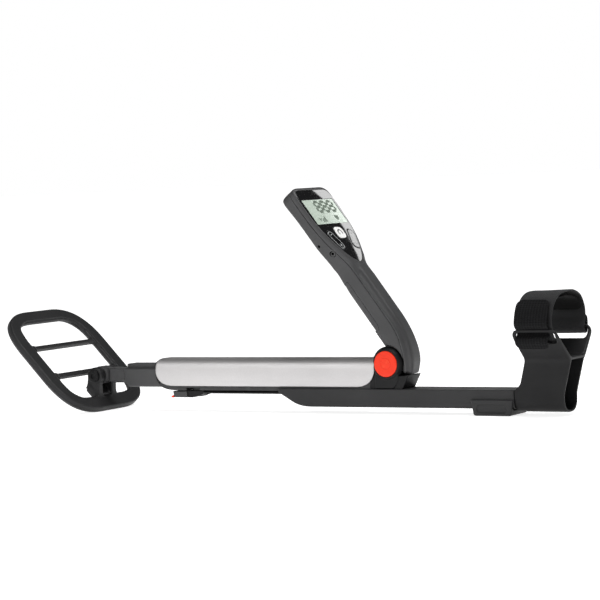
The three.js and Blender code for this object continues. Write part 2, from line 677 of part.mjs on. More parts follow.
// The strap's centre line, from inside one wing over the top to inside the other.
function strapOutline() {
  const { top, half, thick } = STRAP;
  const spring = 44;
  const inset = 10.7;
  const rise = top - spring;
  const shape = new THREE.Shape();
  shape.moveTo(half - inset, 22);
  shape.lineTo(half, spring);
  shape.absellipse(0, spring, half, rise, 0, Math.PI);
  shape.lineTo(-half + inset, 22);
  shape.lineTo(-half + inset + thick, 22);
  shape.lineTo(-half + thick, spring);
  shape.absellipse(0, spring, half - thick, rise - thick, Math.PI, 0, true);
  shape.lineTo(half - inset - thick, 22);
  return shape;
}

const armStrap = () => piece("arm_strap", prismX(strapOutline(), STRAP.front, STRAP.rear, 16), "webbing");

// ---- Assembly ------------------------------------------------------------------------------------

function handle() {
  const group = new THREE.Group();
  const shells = handleShells();
  group.add(shells.front, shells.rear, shells.door, facePanel(), lcdPane(), ...handleInterior(), ...KEYS.map(key));
  group.rotation.y = HANDLE_LEAN;
  return group;
}

const lockGear = () => piece("lock_gear", tubeY(9.3, 5.7, -13.3, -9.4), "steel");

const model = new THREE.Group();
model.add(
  searchCoil(),
  lowerShaftTube(),
  shaftKnuckle(),
  shaftGuide(),
  mainShaft(),
  camLever(),
  camLeverTip(),
  releaseButton(),
  lockGear(),
  handle(),
  armrestTray(),
  armCuff(),
  standFoot(),
  armStrap(),
);

// The origin is the middle of the bounding box's underside.
model.updateMatrixWorld(true);
const bounds = new THREE.Box3().setFromObject(model, true);
const centre = bounds.getCenter(new THREE.Vector3());
model.position.set(-centre.x, 0, -bounds.min.z);

export default model;
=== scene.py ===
"""Looks for the folding metal detector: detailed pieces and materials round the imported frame.

Lengths are millimetres in three drawing frames, and become metres in the row frame:
  SHAFT   origin at the handle's pivot, x to the rear, y across, z up;
  HANDLE  the same origin, leaning back, length along -x, the display facing +z;
  COIL    origin at the coil's hinge, pitched, the coil flat in it.
"""
import json
import math
from collections import namedtuple

import bpy
import numpy as np
from mathutils import Matrix, Vector


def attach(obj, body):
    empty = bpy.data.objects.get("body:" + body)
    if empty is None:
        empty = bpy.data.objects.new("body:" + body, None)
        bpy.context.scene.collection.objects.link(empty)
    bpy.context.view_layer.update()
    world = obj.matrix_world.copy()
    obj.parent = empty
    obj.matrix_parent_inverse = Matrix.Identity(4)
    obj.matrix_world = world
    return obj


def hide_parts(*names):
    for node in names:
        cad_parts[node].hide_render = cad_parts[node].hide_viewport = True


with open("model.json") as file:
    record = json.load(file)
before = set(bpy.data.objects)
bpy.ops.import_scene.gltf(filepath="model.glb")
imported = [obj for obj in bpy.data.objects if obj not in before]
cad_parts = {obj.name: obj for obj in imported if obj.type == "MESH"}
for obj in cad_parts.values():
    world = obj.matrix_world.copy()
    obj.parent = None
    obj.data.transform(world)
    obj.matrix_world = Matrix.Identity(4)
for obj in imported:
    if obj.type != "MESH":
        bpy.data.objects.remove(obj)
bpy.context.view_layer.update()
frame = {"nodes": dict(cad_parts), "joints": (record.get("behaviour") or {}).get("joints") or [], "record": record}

JOINTS = {joint["name"]: joint for joint in frame["joints"]}
PIVOT = Vector(JOINTS["handle_fold"]["pos_m"])
TILT = Vector(JOINTS["coil_tilt"]["pos_m"])
MM = 0.001
SHAFT = Matrix.Translation(PIVOT) @ Matrix.Scale(MM, 4)
HANDLE = SHAFT @ Matrix.Rotation(math.radians(53.3), 4, "Y")
COIL = Matrix.Translation(TILT) @ Matrix.Rotation(math.radians(46), 4, "Y") @ Matrix.Scale(MM, 4)
KNUCKLE_X = (TILT.x - PIVOT.x) / MM
KNUCKLE_Z = (TILT.z - PIVOT.z) / MM


def linked(name, data):
    """An object in the scene."""
    obj = bpy.data.objects.new(name, data)
    bpy.context.scene.collection.objects.link(obj)
    return obj


# ---- Camera ----

CAMERA_TURN, CAMERA_FALL, CAMERA_ROLL = (math.radians(a) for a in (31.5, 3.0, 2.67))
CAMERA_AIM = PIVOT + Vector((0, -0.0213, 0))
CAMERA_AWAY, CAMERA_LEFT, CAMERA_RAISED = 2.925, 0.099333, 0.075114


def make_camera():
    """A long lens from the near side, a little behind the middle and a little above."""
    yaw, fall, roll = CAMERA_TURN, CAMERA_FALL, CAMERA_ROLL
    right = Vector((math.cos(yaw), math.sin(yaw), 0))
    up = Vector((-math.sin(yaw) * math.sin(fall), math.cos(yaw) * math.sin(fall), math.cos(fall)))
    ahead = up.cross(right)
    tilted_right = right * math.cos(roll) - up * math.sin(roll)
    tilted_up = right * math.sin(roll) + up * math.cos(roll)
    place = CAMERA_AIM - ahead * CAMERA_AWAY
    place += tilted_up * CAMERA_RAISED - tilted_right * CAMERA_LEFT
    data = bpy.data.cameras.new("camera")
    data.lens = 150
    data.clip_start, data.clip_end = 0.05, 50
    camera = linked("camera", data)
    camera.matrix_world = Matrix((
        (tilted_right.x, tilted_up.x, -ahead.x, place.x),
        (tilted_right.y, tilted_up.y, -ahead.y, place.y),
        (tilted_right.z, tilted_up.z, -ahead.z, place.z),
        (0, 0, 0, 1),
    ))
    bpy.context.scene.camera = camera


make_camera()


# ---- Fields: signed distances, negative inside ----

def outline(*corners, steps=8):
    """Points round a closed outline through corners (u, v, reach); a reach rounds its corner off.

    A corner (u, v, before, after) has its own reach on each side.
    """
    points = []
    for i, corner in enumerate(corners):
        at = np.array(corner[:2], float)
        before = np.array(corners[i - 1][:2], float) - at
        after = np.array(corners[(i + 1) % len(corners)][:2], float) - at
        reach = corner[2] if len(corner) > 2 else 0
        lengths = np.linalg.norm(before), np.linalg.norm(after)
        reaches = corner[2:] if len(corner) == 4 else [min(reach, length / 2) for length in lengths]
        start = at + before / lengths[0] * reaches[0]
        end = at + after / lengths[1] * reaches[1]
        for t in np.linspace(0, 1, steps if reach else 1):
            points.append((1 - t) ** 2 * start + 2 * t * (1 - t) * at + t * t * end)
    kept = [p for i, p in enumerate(points) if np.linalg.norm(p - points[i - 1]) > 1e-4]
    return np.array(kept)


def rectangle(u0, v0, u1, v1, low=0, high=None, steps=8):
    high = low if high is None else high
    return outline((u0, v0, low), (u1, v0, low), (u1, v1, high), (u0, v1, high), steps=steps)


def within(points, u, v):
    """Signed distance in a plane to a closed outline."""
    u, v = np.broadcast_arrays(np.asarray(u, np.float32), np.asarray(v, np.float32))
    nearest = np.full(u.shape, 1e12, np.float32)
    sign = np.ones(u.shape, np.float32)
    for i, a in enumerate(points):
        b = points[i - 1]
        edge = b - a
        wu, wv = u - a[0], v - a[1]
        t = np.clip((wu * edge[0] + wv * edge[1]) / (edge @ edge), 0, 1)
        nearest = np.minimum(nearest, (wu - edge[0] * t) ** 2 + (wv - edge[1] * t) ** 2)
        above, below, left = v >= a[1], v < b[1], edge[0] * wv > edge[1] * wu
        sign[(above & below & left) | ~(above | below | left)] *= -1
    return sign * np.sqrt(nearest)


def both(a, b, soft=0.0):
    """Intersection with an edge rounded over soft."""
    if not soft:
        return np.maximum(a, b)
    near = np.maximum(soft - np.abs(a - b), 0) / soft
    return np.maximum(a, b) + near * near * soft / 4


def either(a, b, soft=0.0):
    """Union with a fillet over soft."""
    return -both(-a, -b, soft)


def without(a, b, soft=0.0):
    return both(a, -b, soft)


def span(v, low, high):
    return np.maximum(low - v, v - high)


def disc(u, v, u0, v0, radius):
    return np.hypot(u - u0, v - v0) - radius


# ---- Meshes ----

CORNERS = [(dx, dy, dz) for dx in (0, 1) for dy in (0, 1) for dz in (0, 1)]
CELL_EDGES = [(a, b) for a in range(8) for b in range(a) if bin(a ^ b).count("1") == 1]


def steps(low, high, size):
    return np.linspace(low, high, max(2, int(round((high - low) / size)) + 1))


def spaced(*stretches):
    """Grid lines along an axis from stretches (low, high, step) that follow each other."""
    return np.unique(np.concatenate([steps(*s) for s in stretches]).round(4))


def settled(field, points, small=0.04, most=0.3):
    """Points drawn the last little way onto the surface, along the field's slope."""
    for _ in range(2):
        depth = field(*points.T)
        ahead = [field(*(points + np.eye(3)[k] * small).T) for k in range(3)]
        slope = np.stack([(value - depth) / small for value in ahead], 1)
        steep = np.maximum((slope ** 2).sum(1), 0.25)
        points = points - slope * np.clip(depth / steep, -most, most)[:, None]
    return points


def net(field, xs, ys, zs):
    """Points and quads of the surface where the field is zero, over a grid that may be uneven."""
    axes = [np.asarray(a, np.float32) for a in (xs, ys, zs)]
    shape = tuple(len(a) for a in axes)
    value = field(axes[0][:, None, None], axes[1][None, :, None], axes[2][None, None, :])
    value = np.ascontiguousarray(np.broadcast_to(value, shape), np.float32)
    solid = value < 0
    size = [n - 1 for n in shape]
    count = np.zeros(size, np.int8)
    for dx, dy, dz in CORNERS:
        count += solid[dx:dx + size[0], dy:dy + size[1], dz:dz + size[2]]
    cells = np.argwhere((count > 0) & (count < 8))
    index = np.full(size, -1, np.int32)
    index[tuple(cells.T)] = np.arange(len(cells))
    at = [cells + np.array(c) for c in CORNERS]
    depth = np.stack([value[tuple(p.T)] for p in at], 1)
    place = np.stack([np.stack([axes[k][p[:, k]] for k in range(3)], 1) for p in at], 1)
    total = np.zeros((len(cells), 3), np.float32)
    hits = np.zeros(len(cells), np.float32)
    for a, b in CELL_EDGES:
        crossed = (depth[:, a] < 0) != (depth[:, b] < 0)
        share = depth[crossed, a] / (depth[crossed, a] - depth[crossed, b])
        along = place[crossed, b] - place[crossed, a]
        total[crossed] += place[crossed, a] + share[:, None] * along
        hits[crossed] += 1
    quads = []
    for axis in range(3):
        low = [slice(0, n) for n in shape]
        high = list(low)
        low[axis], high[axis] = slice(0, -1), slice(1, None)
        first = solid[tuple(low)]
        changed = np.argwhere(first != solid[tuple(high)])
        b, c = (axis + 1) % 3, (axis + 2) % 3
        changed = changed[(changed[:, b] > 0) & (changed[:, b] < size[b])]
        changed = changed[(changed[:, c] > 0) & (changed[:, c] < size[c])]
        ring = []
        for db, dc in ((-1, -1), (0, -1), (0, 0), (-1, 0)):
            cell = changed.copy()
            cell[:, b] += db
            cell[:, c] += dc
            ring.append(index[tuple(cell.T)])
        ring = np.stack(ring, 1)
        outward = first[tuple(changed.T)]
        ring[~outward] = ring[~outward][:, ::-1]
        quads.append(ring)
    return settled(field, total / hits[:, None]), np.concatenate(quads)


def to_row(points, place):
    matrix = np.array(place)
    return np.asarray(points, float) @ matrix[:3, :3].T + matrix[:3, 3]


def shown(name, mesh, body, material, replaces):
    """A mesh in the row frame becomes a piece that rides on a body."""
    mesh.materials.append(material)
    obj = linked(name, mesh)
    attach(obj, body)
    if replaces:
        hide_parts(*replaces)
    return obj


def piece(name, shape, place, body, material, replaces=(), smooth_angle=None):
    """A piece of the object from (points, faces) drawn in one of the frames."""
    points, faces = shape
    mesh = bpy.data.meshes.new(name)
    mesh.from_pydata(to_row(points, place).tolist(), [], np.asarray(faces).tolist()
                     if isinstance(faces, np.ndarray) else faces)
    mesh.validate()
    mesh.shade_smooth()
    if smooth_angle:
        mesh.set_sharp_from_angle(angle=math.radians(smooth_angle))
    return shown(name, mesh, body, material, replaces)


def lathe(profile, sides=64):
    """A body turned round the Y axis from (radius, y) points, with closed ends."""
    points, faces = [], []
    for i, (radius, y) in enumerate(profile):
        radius = max(radius, 0.01)
        for s in range(sides):
            a = 2 * math.pi * s / sides
            points.append((radius * math.cos(a), y, radius * math.sin(a)))
        if i:
            before, here = (i - 1) * sides, i * sides
            for s in range(sides):
                t = (s + 1) % sides
                faces.append((before + s, before + t, here + t, here + s))
    faces.append(tuple(range(sides))[::-1])
    last = (len(profile) - 1) * sides
    faces.append(tuple(last + s for s in range(sides)))
    return points, faces


def flat_plate(name, loops, z0, z1, edge, place, body, material, replaces=()):
    """A thin plate with rounded edges, from closed loops in XY; inner loops are holes."""
    curve = bpy.data.curves.new(name, "CURVE")
    curve.dimensions = "2D"
    curve.fill_mode = "BOTH"
    curve.extrude = (z1 - z0) / 2 - edge
    curve.bevel_depth = edge
    curve.bevel_resolution = 2
    for loop in loops:
        spline = curve.splines.new("POLY")
        spline.points.add(len(loop) - 1)
        for point, (u, v) in zip(spline.points, loop):
            point.co = (u, v, 0, 1)
        spline.use_cyclic_u = True
    source = bpy.data.objects.new(name, curve)
    mesh = bpy.data.meshes.new_from_object(source)
    bpy.data.objects.remove(source)
    bpy.data.curves.remove(curve)
    mesh.validate()
    mesh.shade_smooth()
    mesh.set_sharp_from_angle(angle=math.radians(40))
    for face in mesh.polygons:
        face.use_smooth = abs(face.normal.z) < 0.99
    mesh.transform(place @ Matrix.Translation((0, 0, (z0 + z1) / 2)))
    return shown(name, mesh, body, material, replaces)


# ---- Materials ----

class Nodes:
    """A material's node tree, built from small calls."""

    def __init__(self, name):
        self.material = bpy.data.materials.new(name)
        self.material.use_nodes = True
        self.tree = self.material.node_tree
        self.shader = self.tree.nodes["Principled BSDF"]
        self.coords = self.tree.nodes.new("ShaderNodeTexCoord").outputs["Object"]

    def add(self, kind, inputs=(), **settings):
        node = self.tree.nodes.new(kind)
        for key, value in settings.items():
            setattr(node, key, value)
        for key, value in dict(inputs).items():
            self.put(node.inputs[key], value)
        return node

    def put(self, socket, value):
        if isinstance(value, bpy.types.NodeSocket):
            self.tree.links.new(value, socket)
        else:
            socket.default_value = value

    def set(self, name, value):
        self.put(self.shader.inputs[name], value)

    def stretched(self, scale):
        return self.add("ShaderNodeMapping", {"Vector": self.coords, "Scale": scale}).outputs[0]

    def noise(self, scale, detail=3, rough=0.5, vector=None):
        vector = vector or self.coords
        inputs = {"Vector": vector, "Scale": scale, "Detail": detail, "Roughness": rough}
        return self.add("ShaderNodeTexNoise", inputs).outputs["Fac"]

    def ramp(self, value, low, high, start=0.0, end=1.0):
        inputs = {"Value": value, "From Min": low, "From Max": high, "To Min": start,
                  "To Max": end}
        return self.add("ShaderNodeMapRange", inputs).outputs[0]

    def math(self, operation, a, b=0.0):
        return self.add("ShaderNodeMath", {0: a, 1: b}, operation=operation).outputs[0]

    def mix(self, share, first, second):
        node = self.add("ShaderNodeMix", {"Factor": share}, data_type="RGBA")
        self.put(node.inputs[6], first)
        self.put(node.inputs[7], second)
        return node.outputs[2]

    def bump(self, height, distance, strength=1.0, normal=None):
        inputs = {"Height": height, "Distance": distance, "Strength": strength}
        if normal:
            inputs["Normal"] = normal
        return self.add("ShaderNodeBump", inputs).outputs[0]


def rgb(r, g, b):
    """A linear colour from the 0 to 255 values of a screen colour."""
    shares = [c / 255 for c in (r, g, b)]
    return (*[c / 12.92 if c < 0.039 else ((c + 0.055) / 1.055) ** 2.4 for c in shares], 1)


def moulded(name, color, lighter_tone, rough=0.5, grain=0.00005, specular=0.5):
    """Moulded plastic: eroded grain, uneven gloss, lighter edges of rubbed wear and painted highlight, and painted
    shade in the hollows.
    """
    n = Nodes(name)
    cloud = n.ramp(n.noise(14, 4), 0.3, 0.7, 0, 0.22)
    base = n.mix(cloud, color, lighter_tone)
    # Lighter convex edges: part rubbed wear, part painted highlight where the edges would catch the light.
    rubbed_and_lit_edges = n.ramp(n.add("ShaderNodeNewGeometry").outputs["Pointiness"], 0.512, 0.57, 0, 0.75)
    patchy = n.math("MULTIPLY", rubbed_and_lit_edges, n.ramp(n.noise(90, 4, 0.7), 0.35, 0.65, 0.35, 1))
    # Painted shade: where the AO finds hollows, the colour goes towards near black.
    painted_shade_ao = n.add("ShaderNodeAmbientOcclusion", {"Distance": 0.03}, samples=6).outputs["AO"]
    unshaded = n.ramp(painted_shade_ao, 0.15, 0.75)
    n.set("Base Color", n.mix(unshaded, rgb(4, 4, 4), n.mix(patchy, base, lighter_tone)))
    scuffs = n.noise(1, 5, 0.6, n.stretched((60, 420, 420)))
    uneven = n.math("ADD", n.noise(35, 4), n.math("MULTIPLY", scuffs, 0.5))
    n.set("Roughness", n.ramp(uneven, 0.5, 1.0, rough - 0.07, rough + 0.09))
    n.set("Specular IOR Level", specular)
    eroded = n.noise(1500, 3, 0.6)
    n.set("Normal", n.bump(eroded, grain, 0.5))
    return n.material


def silver_lacquer():
    n = Nodes("silver_lacquer")
    flakes = n.add("ShaderNodeTexVoronoi", {"Vector": n.coords, "Scale": 2600}).outputs["Color"]
    speckle = n.ramp(n.add("ShaderNodeSeparateColor", {0: flakes}).outputs[0], 0, 1, 0, 0.35)
    base = n.mix(speckle, rgb(196, 194, 194), rgb(222, 220, 220))
    cloud = n.ramp(n.noise(9, 3), 0.35, 0.7, 0, 0.3)
    n.set("Base Color", n.mix(cloud, base, rgb(156, 155, 156)))
    scratches = n.noise(1, 4, 0.65, n.stretched((40, 900, 900)))
    n.set("Roughness", n.ramp(scratches, 0.3, 0.75, 0.38, 0.5))
    n.set("Metallic", 0.85)
    n.set("Normal", n.bump(n.noise(900, 2), 0.00002, 0.4))
    return n.material


def gloss(name, color, rough, specular=0.5):
    """A clear gloss surface with faint smears and hairline scratches."""
    n = Nodes(name)
    haze = n.ramp(n.noise(30, 3), 0.3, 0.7, 0, 0.02)
    n.set("Base Color", n.mix(haze, color, rgb(90, 92, 95)))
    smears = n.noise(1, 4, 0.6, n.stretched((70, 25, 70)))
    n.set("Roughness", n.ramp(smears, 0.5, 0.8, rough, rough + 0.03))
    n.set("Specular IOR Level", specular)
    hairs = n.noise(1, 3, 0.5, n.stretched((900, 60, 900)))
    n.set("Normal", n.bump(hairs, 0.000001, 0.2))
    return n.material


def display_glass():
    n = Nodes("display_glass")
    shade = n.ramp(n.noise(12, 2), 0.3, 0.7, 0, 0.5)
    cells = n.add("ShaderNodeTexVoronoi", {"Vector": n.coords, "Scale": 1400}).outputs["Distance"]
    tint = n.mix(shade, rgb(182, 196, 182), rgb(200, 212, 200))
    n.set("Base Color", n.mix(n.ramp(cells, 0, 0.6, 0, 0.12), tint, rgb(160, 176, 162)))
    n.set("Roughness", n.ramp(n.noise(40, 2), 0.3, 0.7, 0.05, 0.1))
    return n.material


def webbing(name, color, light, across=260, along=420, fuzz=0.0):
    """Woven strap cloth with a nap; across and along are the weave's thread counts per metre."""
    n = Nodes(name)
    waves = []
    for direction, scale in (("X", across), ("Z", along)):
        inputs = {"Vector": n.coords, "Scale": scale, "Distortion": 1.2, "Detail": 2,
                  "Detail Scale": 3}
        waves.append(n.add("ShaderNodeTexWave", inputs, bands_direction=direction).outputs["Fac"])
    weave = n.math("MULTIPLY", waves[0], waves[1])
    nap = n.noise(2600, 5, 0.75)
    tone = n.math("ADD", n.math("MULTIPLY", weave, 0.4), n.math("MULTIPLY", nap, 0.6))
    # Painted shade: where the AO finds hollows, the cloth goes towards near black.
    painted_shade_ao = n.add("ShaderNodeAmbientOcclusion", {"Distance": 0.05}, samples=6).outputs["AO"]
    cloth = n.mix(n.ramp(tone, 0.2, 0.8), color, light)
    n.set("Base Color", n.mix(n.ramp(painted_shade_ao, 0.2, 0.8), rgb(3, 3, 3), cloth))
    n.set("Roughness", 0.95)
    n.set("Specular IOR Level", 0.15)
    n.set("Sheen Weight", fuzz)
    n.set("Normal", n.bump(tone, 0.0006, 0.8))
    return n.material


def bare_metal(name, color, rough):
    n = Nodes(name)
    brushed = n.noise(1, 4, 0.6, n.stretched((80, 2400, 80)))
    n.set("Base Color", n.mix(n.ramp(brushed, 0.3, 0.7, 0, 0.4), color, rgb(90, 88, 86)))
    n.set("Metallic", 1)
    n.set("Roughness", n.ramp(brushed, 0.3, 0.7, rough, rough + 0.15))
    return n.material


BLACK = moulded("black_plastic", rgb(50, 50, 51), rgb(84, 84, 85))
SHAFT_BLACK = moulded("shaft_plastic", rgb(48, 48, 49), rgb(84, 84, 85), rough=0.42, grain=0.00003)
COIL_BLACK = moulded("coil_plastic", rgb(24, 24, 25), rgb(52, 52, 53), specular=0.3)
RAIL_BLACK = moulded("rail_plastic", rgb(34, 34, 35), rgb(66, 66, 67), specular=0.3)
CUFF_BLACK = moulded("cuff_plastic", rgb(20, 20, 21), rgb(46, 46, 47), specular=0.22)
DARK = moulded("dark_plastic", rgb(17, 17, 18), rgb(40, 40, 41), rough=0.5, specular=0.2)
RUBBER = moulded("black_rubber", rgb(30, 30, 31), rgb(60, 60, 60), rough=0.75)
ORANGE = moulded("orange_plastic", rgb(238, 46, 8), rgb(242, 76, 40), rough=0.45, grain=0.00003,
                 specular=0.3)
WHITE = moulded("white_rubber", rgb(238, 238, 236), rgb(248, 248, 247), rough=0.55, grain=0.00003)
SILVER = silver_lacquer()
WINDOW = gloss("gloss_black", rgb(9, 9, 10), 0.015, 0.6)
PRINT = moulded("light_print", rgb(176, 178, 178), rgb(200, 202, 202), rough=0.4, grain=0.00001)
DISPLAY = display_glass()
SEGMENT = moulded("display_segments", rgb(98, 110, 98), rgb(124, 136, 124), rough=0.3,
                  grain=0.00001)
STEEL = bare_metal("plain_steel", rgb(190, 192, 195), 0.28)
COPPER = bare_metal("copper_wire", rgb(196, 120, 70), 0.35)
CELL = moulded("cell_wrap", rgb(84, 98, 112), rgb(150, 160, 170), rough=0.35, grain=0.00001)
BOARD = moulded("circuit_board", rgb(32, 82, 48), rgb(70, 120, 80), rough=0.45, grain=0.00001)
STRAP_OUT = webbing("strap_cloth", rgb(34, 34, 35), rgb(60, 60, 61), fuzz=0.08)
# Painted shade: the strap's inner end is a darker copy of the strap cloth, for the shade inside the loop.
STRAP_INNER_SHADED = webbing("strap_cloth_shaded", rgb(10, 10, 10), rgb(24, 24, 24))
STRAP_TAB = webbing("strap_hook_tape", rgb(12, 12, 13), rgb(38, 38, 39), across=90, along=330)

SLOT_MATERIALS = {
    "black_plastic": BLACK, "shaft_plastic": SHAFT_BLACK, "silver": SILVER,
    "orange_plastic": ORANGE, "gloss_black": WINDOW, "display": DISPLAY, "white_rubber": WHITE,
    "black_rubber": RUBBER, "steel": STEEL, "display_module": STEEL, "copper": COPPER,
    "cell": CELL, "board": BOARD, "webbing": STRAP_OUT,
}
NODE_MATERIALS = {"shaft_chassis": RAIL_BLACK, "shaft_guide": RAIL_BLACK, "slide_rail": DARK}


def dress_cad_nodes():
    """CAD nodes that stay get the slot's material and softened edges."""
    slots = {entry["node"]: entry["material_slot"] for entry in frame["record"]["subparts"]}
    for node, obj in frame["nodes"].items():
        obj.data.materials.clear()
        obj.data.materials.append(NODE_MATERIALS.get(node, SLOT_MATERIALS[slots[node]]))
        bevel = obj.modifiers.new("edges", "BEVEL")
        bevel.width = 0.0004
        bevel.segments = 2
        bevel.limit_method = "ANGLE"
        bevel.angle_limit = math.radians(35)


dress_cad_nodes()


# ---- Search coil ----

COIL_PLAN = rectangle(-128, -85, 40, 85, 60, steps=24)
COIL_WINDOWS = [
    outline((-17.4, -63, 5), (19.5, -63, 30), (19.5, 63, 30), (-17.4, 63, 5), steps=16),
    rectangle(-65.4, -63, -23.6, 63, 5),
    outline((-110, -63, 34), (-71.1, -63, 5), (-71.1, 63, 5), (-110, 63, 34), steps=16),
]
COIL_OPENING = outline((-110, -63, 34), (19.5, -63, 30), (19.5, 63, 30), (-110, 63, 34), steps=16)
COVER_WINDOW = outline((-112, -65.5, 36), (22, -65.5, 32), (22, 65.5, 32), (-112, 65.5, 36),
                       steps=16)
COIL_SEAM = -20.3
EAR_FLANK = outline((-9.3, -4.8), (1, -19), (27, -19), (22, -13.5, 3), (10.4, -2))


def coil_web(x, y):
    return both(span(x, 2, 26), np.abs(y) - 20)


def coil_top(x, y, z):
    edge = within(COIL_PLAN, x, y)
    first = without(within(COIL_WINDOWS[0], x, y), coil_web(x, y), 3)
    windows = np.minimum(first, np.minimum(*[within(w, x, y) for w in COIL_WINDOWS[1:]]))
    opening = within(COIL_OPENING, x, y)
    body = both(edge, z + 14, 1.8)
    body = both(body, COIL_SEAM - z, 0.4)
    step = both(np.maximum(opening - 2.6, -opening), -15.6 - z)
    body = without(without(body, windows, 1.3), step, 0.8)
    side = np.abs(y)
    ear = either(disc(x, z, 0, 0, 10.5), within(EAR_FLANK, x, z), 2)
    ear = both(ear, span(side, 9.6, 19.5), 2.2)
    body = either(body, ear, 3.5)
    return without(body, disc(x, z, 0, 0, 4.3), 0.8)


def coil_base(x, y, z):
    edge = within(COIL_PLAN, x, y)
    window = without(within(COVER_WINDOW, x, y), coil_web(x, y), 3)
    flare = np.maximum(COIL_SEAM - 0.3 - z, 0) * 0.45
    body = both(edge, -24.4 - z, 4)
    body = both(body, z - COIL_SEAM + 0.25, 0.4)
    return without(body, window - flare, 3)


def hexagon(x, z, half):
    slopes = np.maximum(np.abs(x / 2 + z * 0.866), np.abs(x / 2 - z * 0.866))
    return np.maximum(np.abs(x), slopes) - half


def coil_bolt(x, y, z):
    radius = np.hypot(x, z)
    head = both(radius - 7.6, span(y, -23.4, -19.8), 1.8)
    head = without(head, both(hexagon(x, z, 3), y + 22), 0.5)
    return either(head, both(radius - 4, span(y, -21, 22.5), 0.8))


def coil_nut(x, y, z):
    nut = both(both(hexagon(x, z, 6.6), np.hypot(x, z) - 7.4, 0.8), span(y, 19.8, 24), 1)
    return without(nut, np.hypot(x, z) - 4.2, 0.4)


piece("coil_top", net(coil_top, steps(-130, 42, 1), steps(-87, 87, 1), steps(-22, 12, 1)),
      COIL, "coil", COIL_BLACK, ["coil_upper_shell"])
piece("coil_base", net(coil_base, steps(-130, 42, 1), steps(-87, 87, 1), steps(-28, -19, 1)),
      COIL, "coil", BLACK, ["coil_lower_cover"])
piece("coil_bolt", net(coil_bolt, steps(-9, 9, 0.5), steps(-25, 24, 0.5), steps(-9, 9, 0.5)),
      COIL, "coil", DARK, ["coil_hinge_bolt"])
piece("coil_nut", net(coil_nut, steps(-9, 9, 0.5), steps(18.5, 25.5, 0.5), steps(-9, 9, 0.5)),
      COIL, "coil", DARK, ["coil_hinge_nut"])


# ---- Shaft ----

TUBE_SECTION = outline((-12.5, -29.7, 3), (12.5, -29.7, 3), (12.5, -6.1, 3), (5, -6.1),
                       (5, -0.3, 1.5), (-5, -0.3, 1.5), (-5, -6.1), (-12.5, -6.1, 3))


def shaft_tube(x, y, z):
    body = both(within(TUBE_SECTION, y, z), span(x, -381, -45), 1.4)
    body = both(body, 0.7 * (-381 - x) + 0.7 * (-24.5 - z), 1.5)
    body = without(body, within(rectangle(-10.5, -27.7, 10.5, -8.1, 2), y, z))
    groove = both(both(np.abs(y) - 0.9, -1.7 - z), span(x, -374, -52))
    stop = both(both(np.abs(y) - 8, -1 - z), x + 374)
    return without(without(body, groove, 0.5), stop, 1.5)


def knuckle(x, y, z):
    side = np.abs(y)
    barrel = both(disc(x, z, KNUCKLE_X, KNUCKLE_Z, 11), side - 8.9, 1.5)
    height = span(z, -23.4, -6.8)
    near_neck = both(both(span(x, KNUCKLE_X, -398), side - 8.9, 1.5), height, 2.5)
    neck = both(both(span(x, KNUCKLE_X + 17, -381.3), side - 11, 2.5), height, 2.5)
    spigot = both(both(span(x, -384, -348), side - 10.1), span(z, -22.4, -8.5))
    body = either(either(either(barrel, near_neck, 3), neck, 3), spigot)
    rib = both(both(span(x, KNUCKLE_X + 13, -384), side - 1.5), span(z, -25.5, -20), 1)
    body = either(body, rib, 2)
    return without(body, disc(x, z, KNUCKLE_X, KNUCKLE_Z, 4.4), 0.8)


COVER_SIDE = outline((-330, -27.9, 20, 26), (-16.5, -27.9, 27, 29), (-16.5, 6.8, 4),
                     (-330, 6.8, 10), steps=14)
COVER_SECTION = outline((-16.2, -40), (16.2, -40), (17.6, -17, 6, 2), (17.6, 6.8, 21, 11),
                        (-17.6, 6.8, 11, 21), (-17.6, -17, 2, 6), steps=14)


def cover(x, y, z):
    section = within(COVER_SECTION, y, z)
    body = both(within(COVER_SIDE, x, z), section, 1.6)
    return without(body, section + 1.4, 0.5)


NOSE = outline((-331.5, -33.3, 32), (20, -33.3), (20, 5.8), (-331.5, 5.8, 9), steps=12)


def collar(x, y, z):
    ring = both(within(rectangle(-15.6, -33.3, 15.6, 4.8, 3, 8), y, z), span(x, -332, -325), 0.6)
    plug = both(within(rectangle(-13.9, -31.1, 13.9, 2.6, 2, 5.5), y, z), span(x, -327, -300))
    body = both(either(ring, plug), within(NOSE, x, z), 2.2)
    return without(body, within(TUBE_SECTION, y, z) - 0.35, 0.7)


LONG = spaced((-384, -368, 0.8), (-368, -330, 3.8), (-330, -60, 15), (-60, -40, 1))
piece("shaft_tube", net(shaft_tube, LONG, steps(-14, 14, 0.6), steps(-31.5, 1.5, 0.6)),
      SHAFT, "lower_shaft", SHAFT_BLACK, ["lower_shaft_tube"])
piece("shaft_end", net(knuckle, steps(-435, -346, 0.9), steps(-13, 13, 0.8), steps(-28, -3, 0.8)),
      SHAFT, "lower_shaft", BLACK, ["shaft_knuckle"])
COVER_X = spaced((-332, -298, 0.9), (-298, -48, 6), (-48, -14, 0.9))
piece("shaft_cover", net(cover, COVER_X, steps(-19, 19, 0.5), steps(-29.4, 8.4, 0.6)),
      SHAFT, "main_shaft", SILVER, ["silver_cover"])
piece("shaft_mouth", net(collar, steps(-333.5, -298, 0.8), steps(-17, 17, 0.7), steps(-35, 9, 0.7)),
      SHAFT, "main_shaft", DARK, ["front_collar"])


# ---- Cam lever under the shaft's mouth ----

PADDLE = outline((-307.2, -34.4), (-306.6, -38.6, 1), (-304, -42.2, 1.5), (-286.4, -42.2, 0.8),
                 (-286.4, -34.4))
LEVER_PIN_X, LEVER_PIN_Z = -276, -37.2
LEVER_ARM = outline((-288, -36), (-276, -33.6), (-276, -41.4), (-288, -42))
MOUNT = outline((-285.6, -33.7), (-285.6, -42.2, 0.8), (-276, -42.2, 6), (-262, -37.6, 6),
                (-262, -33.7))


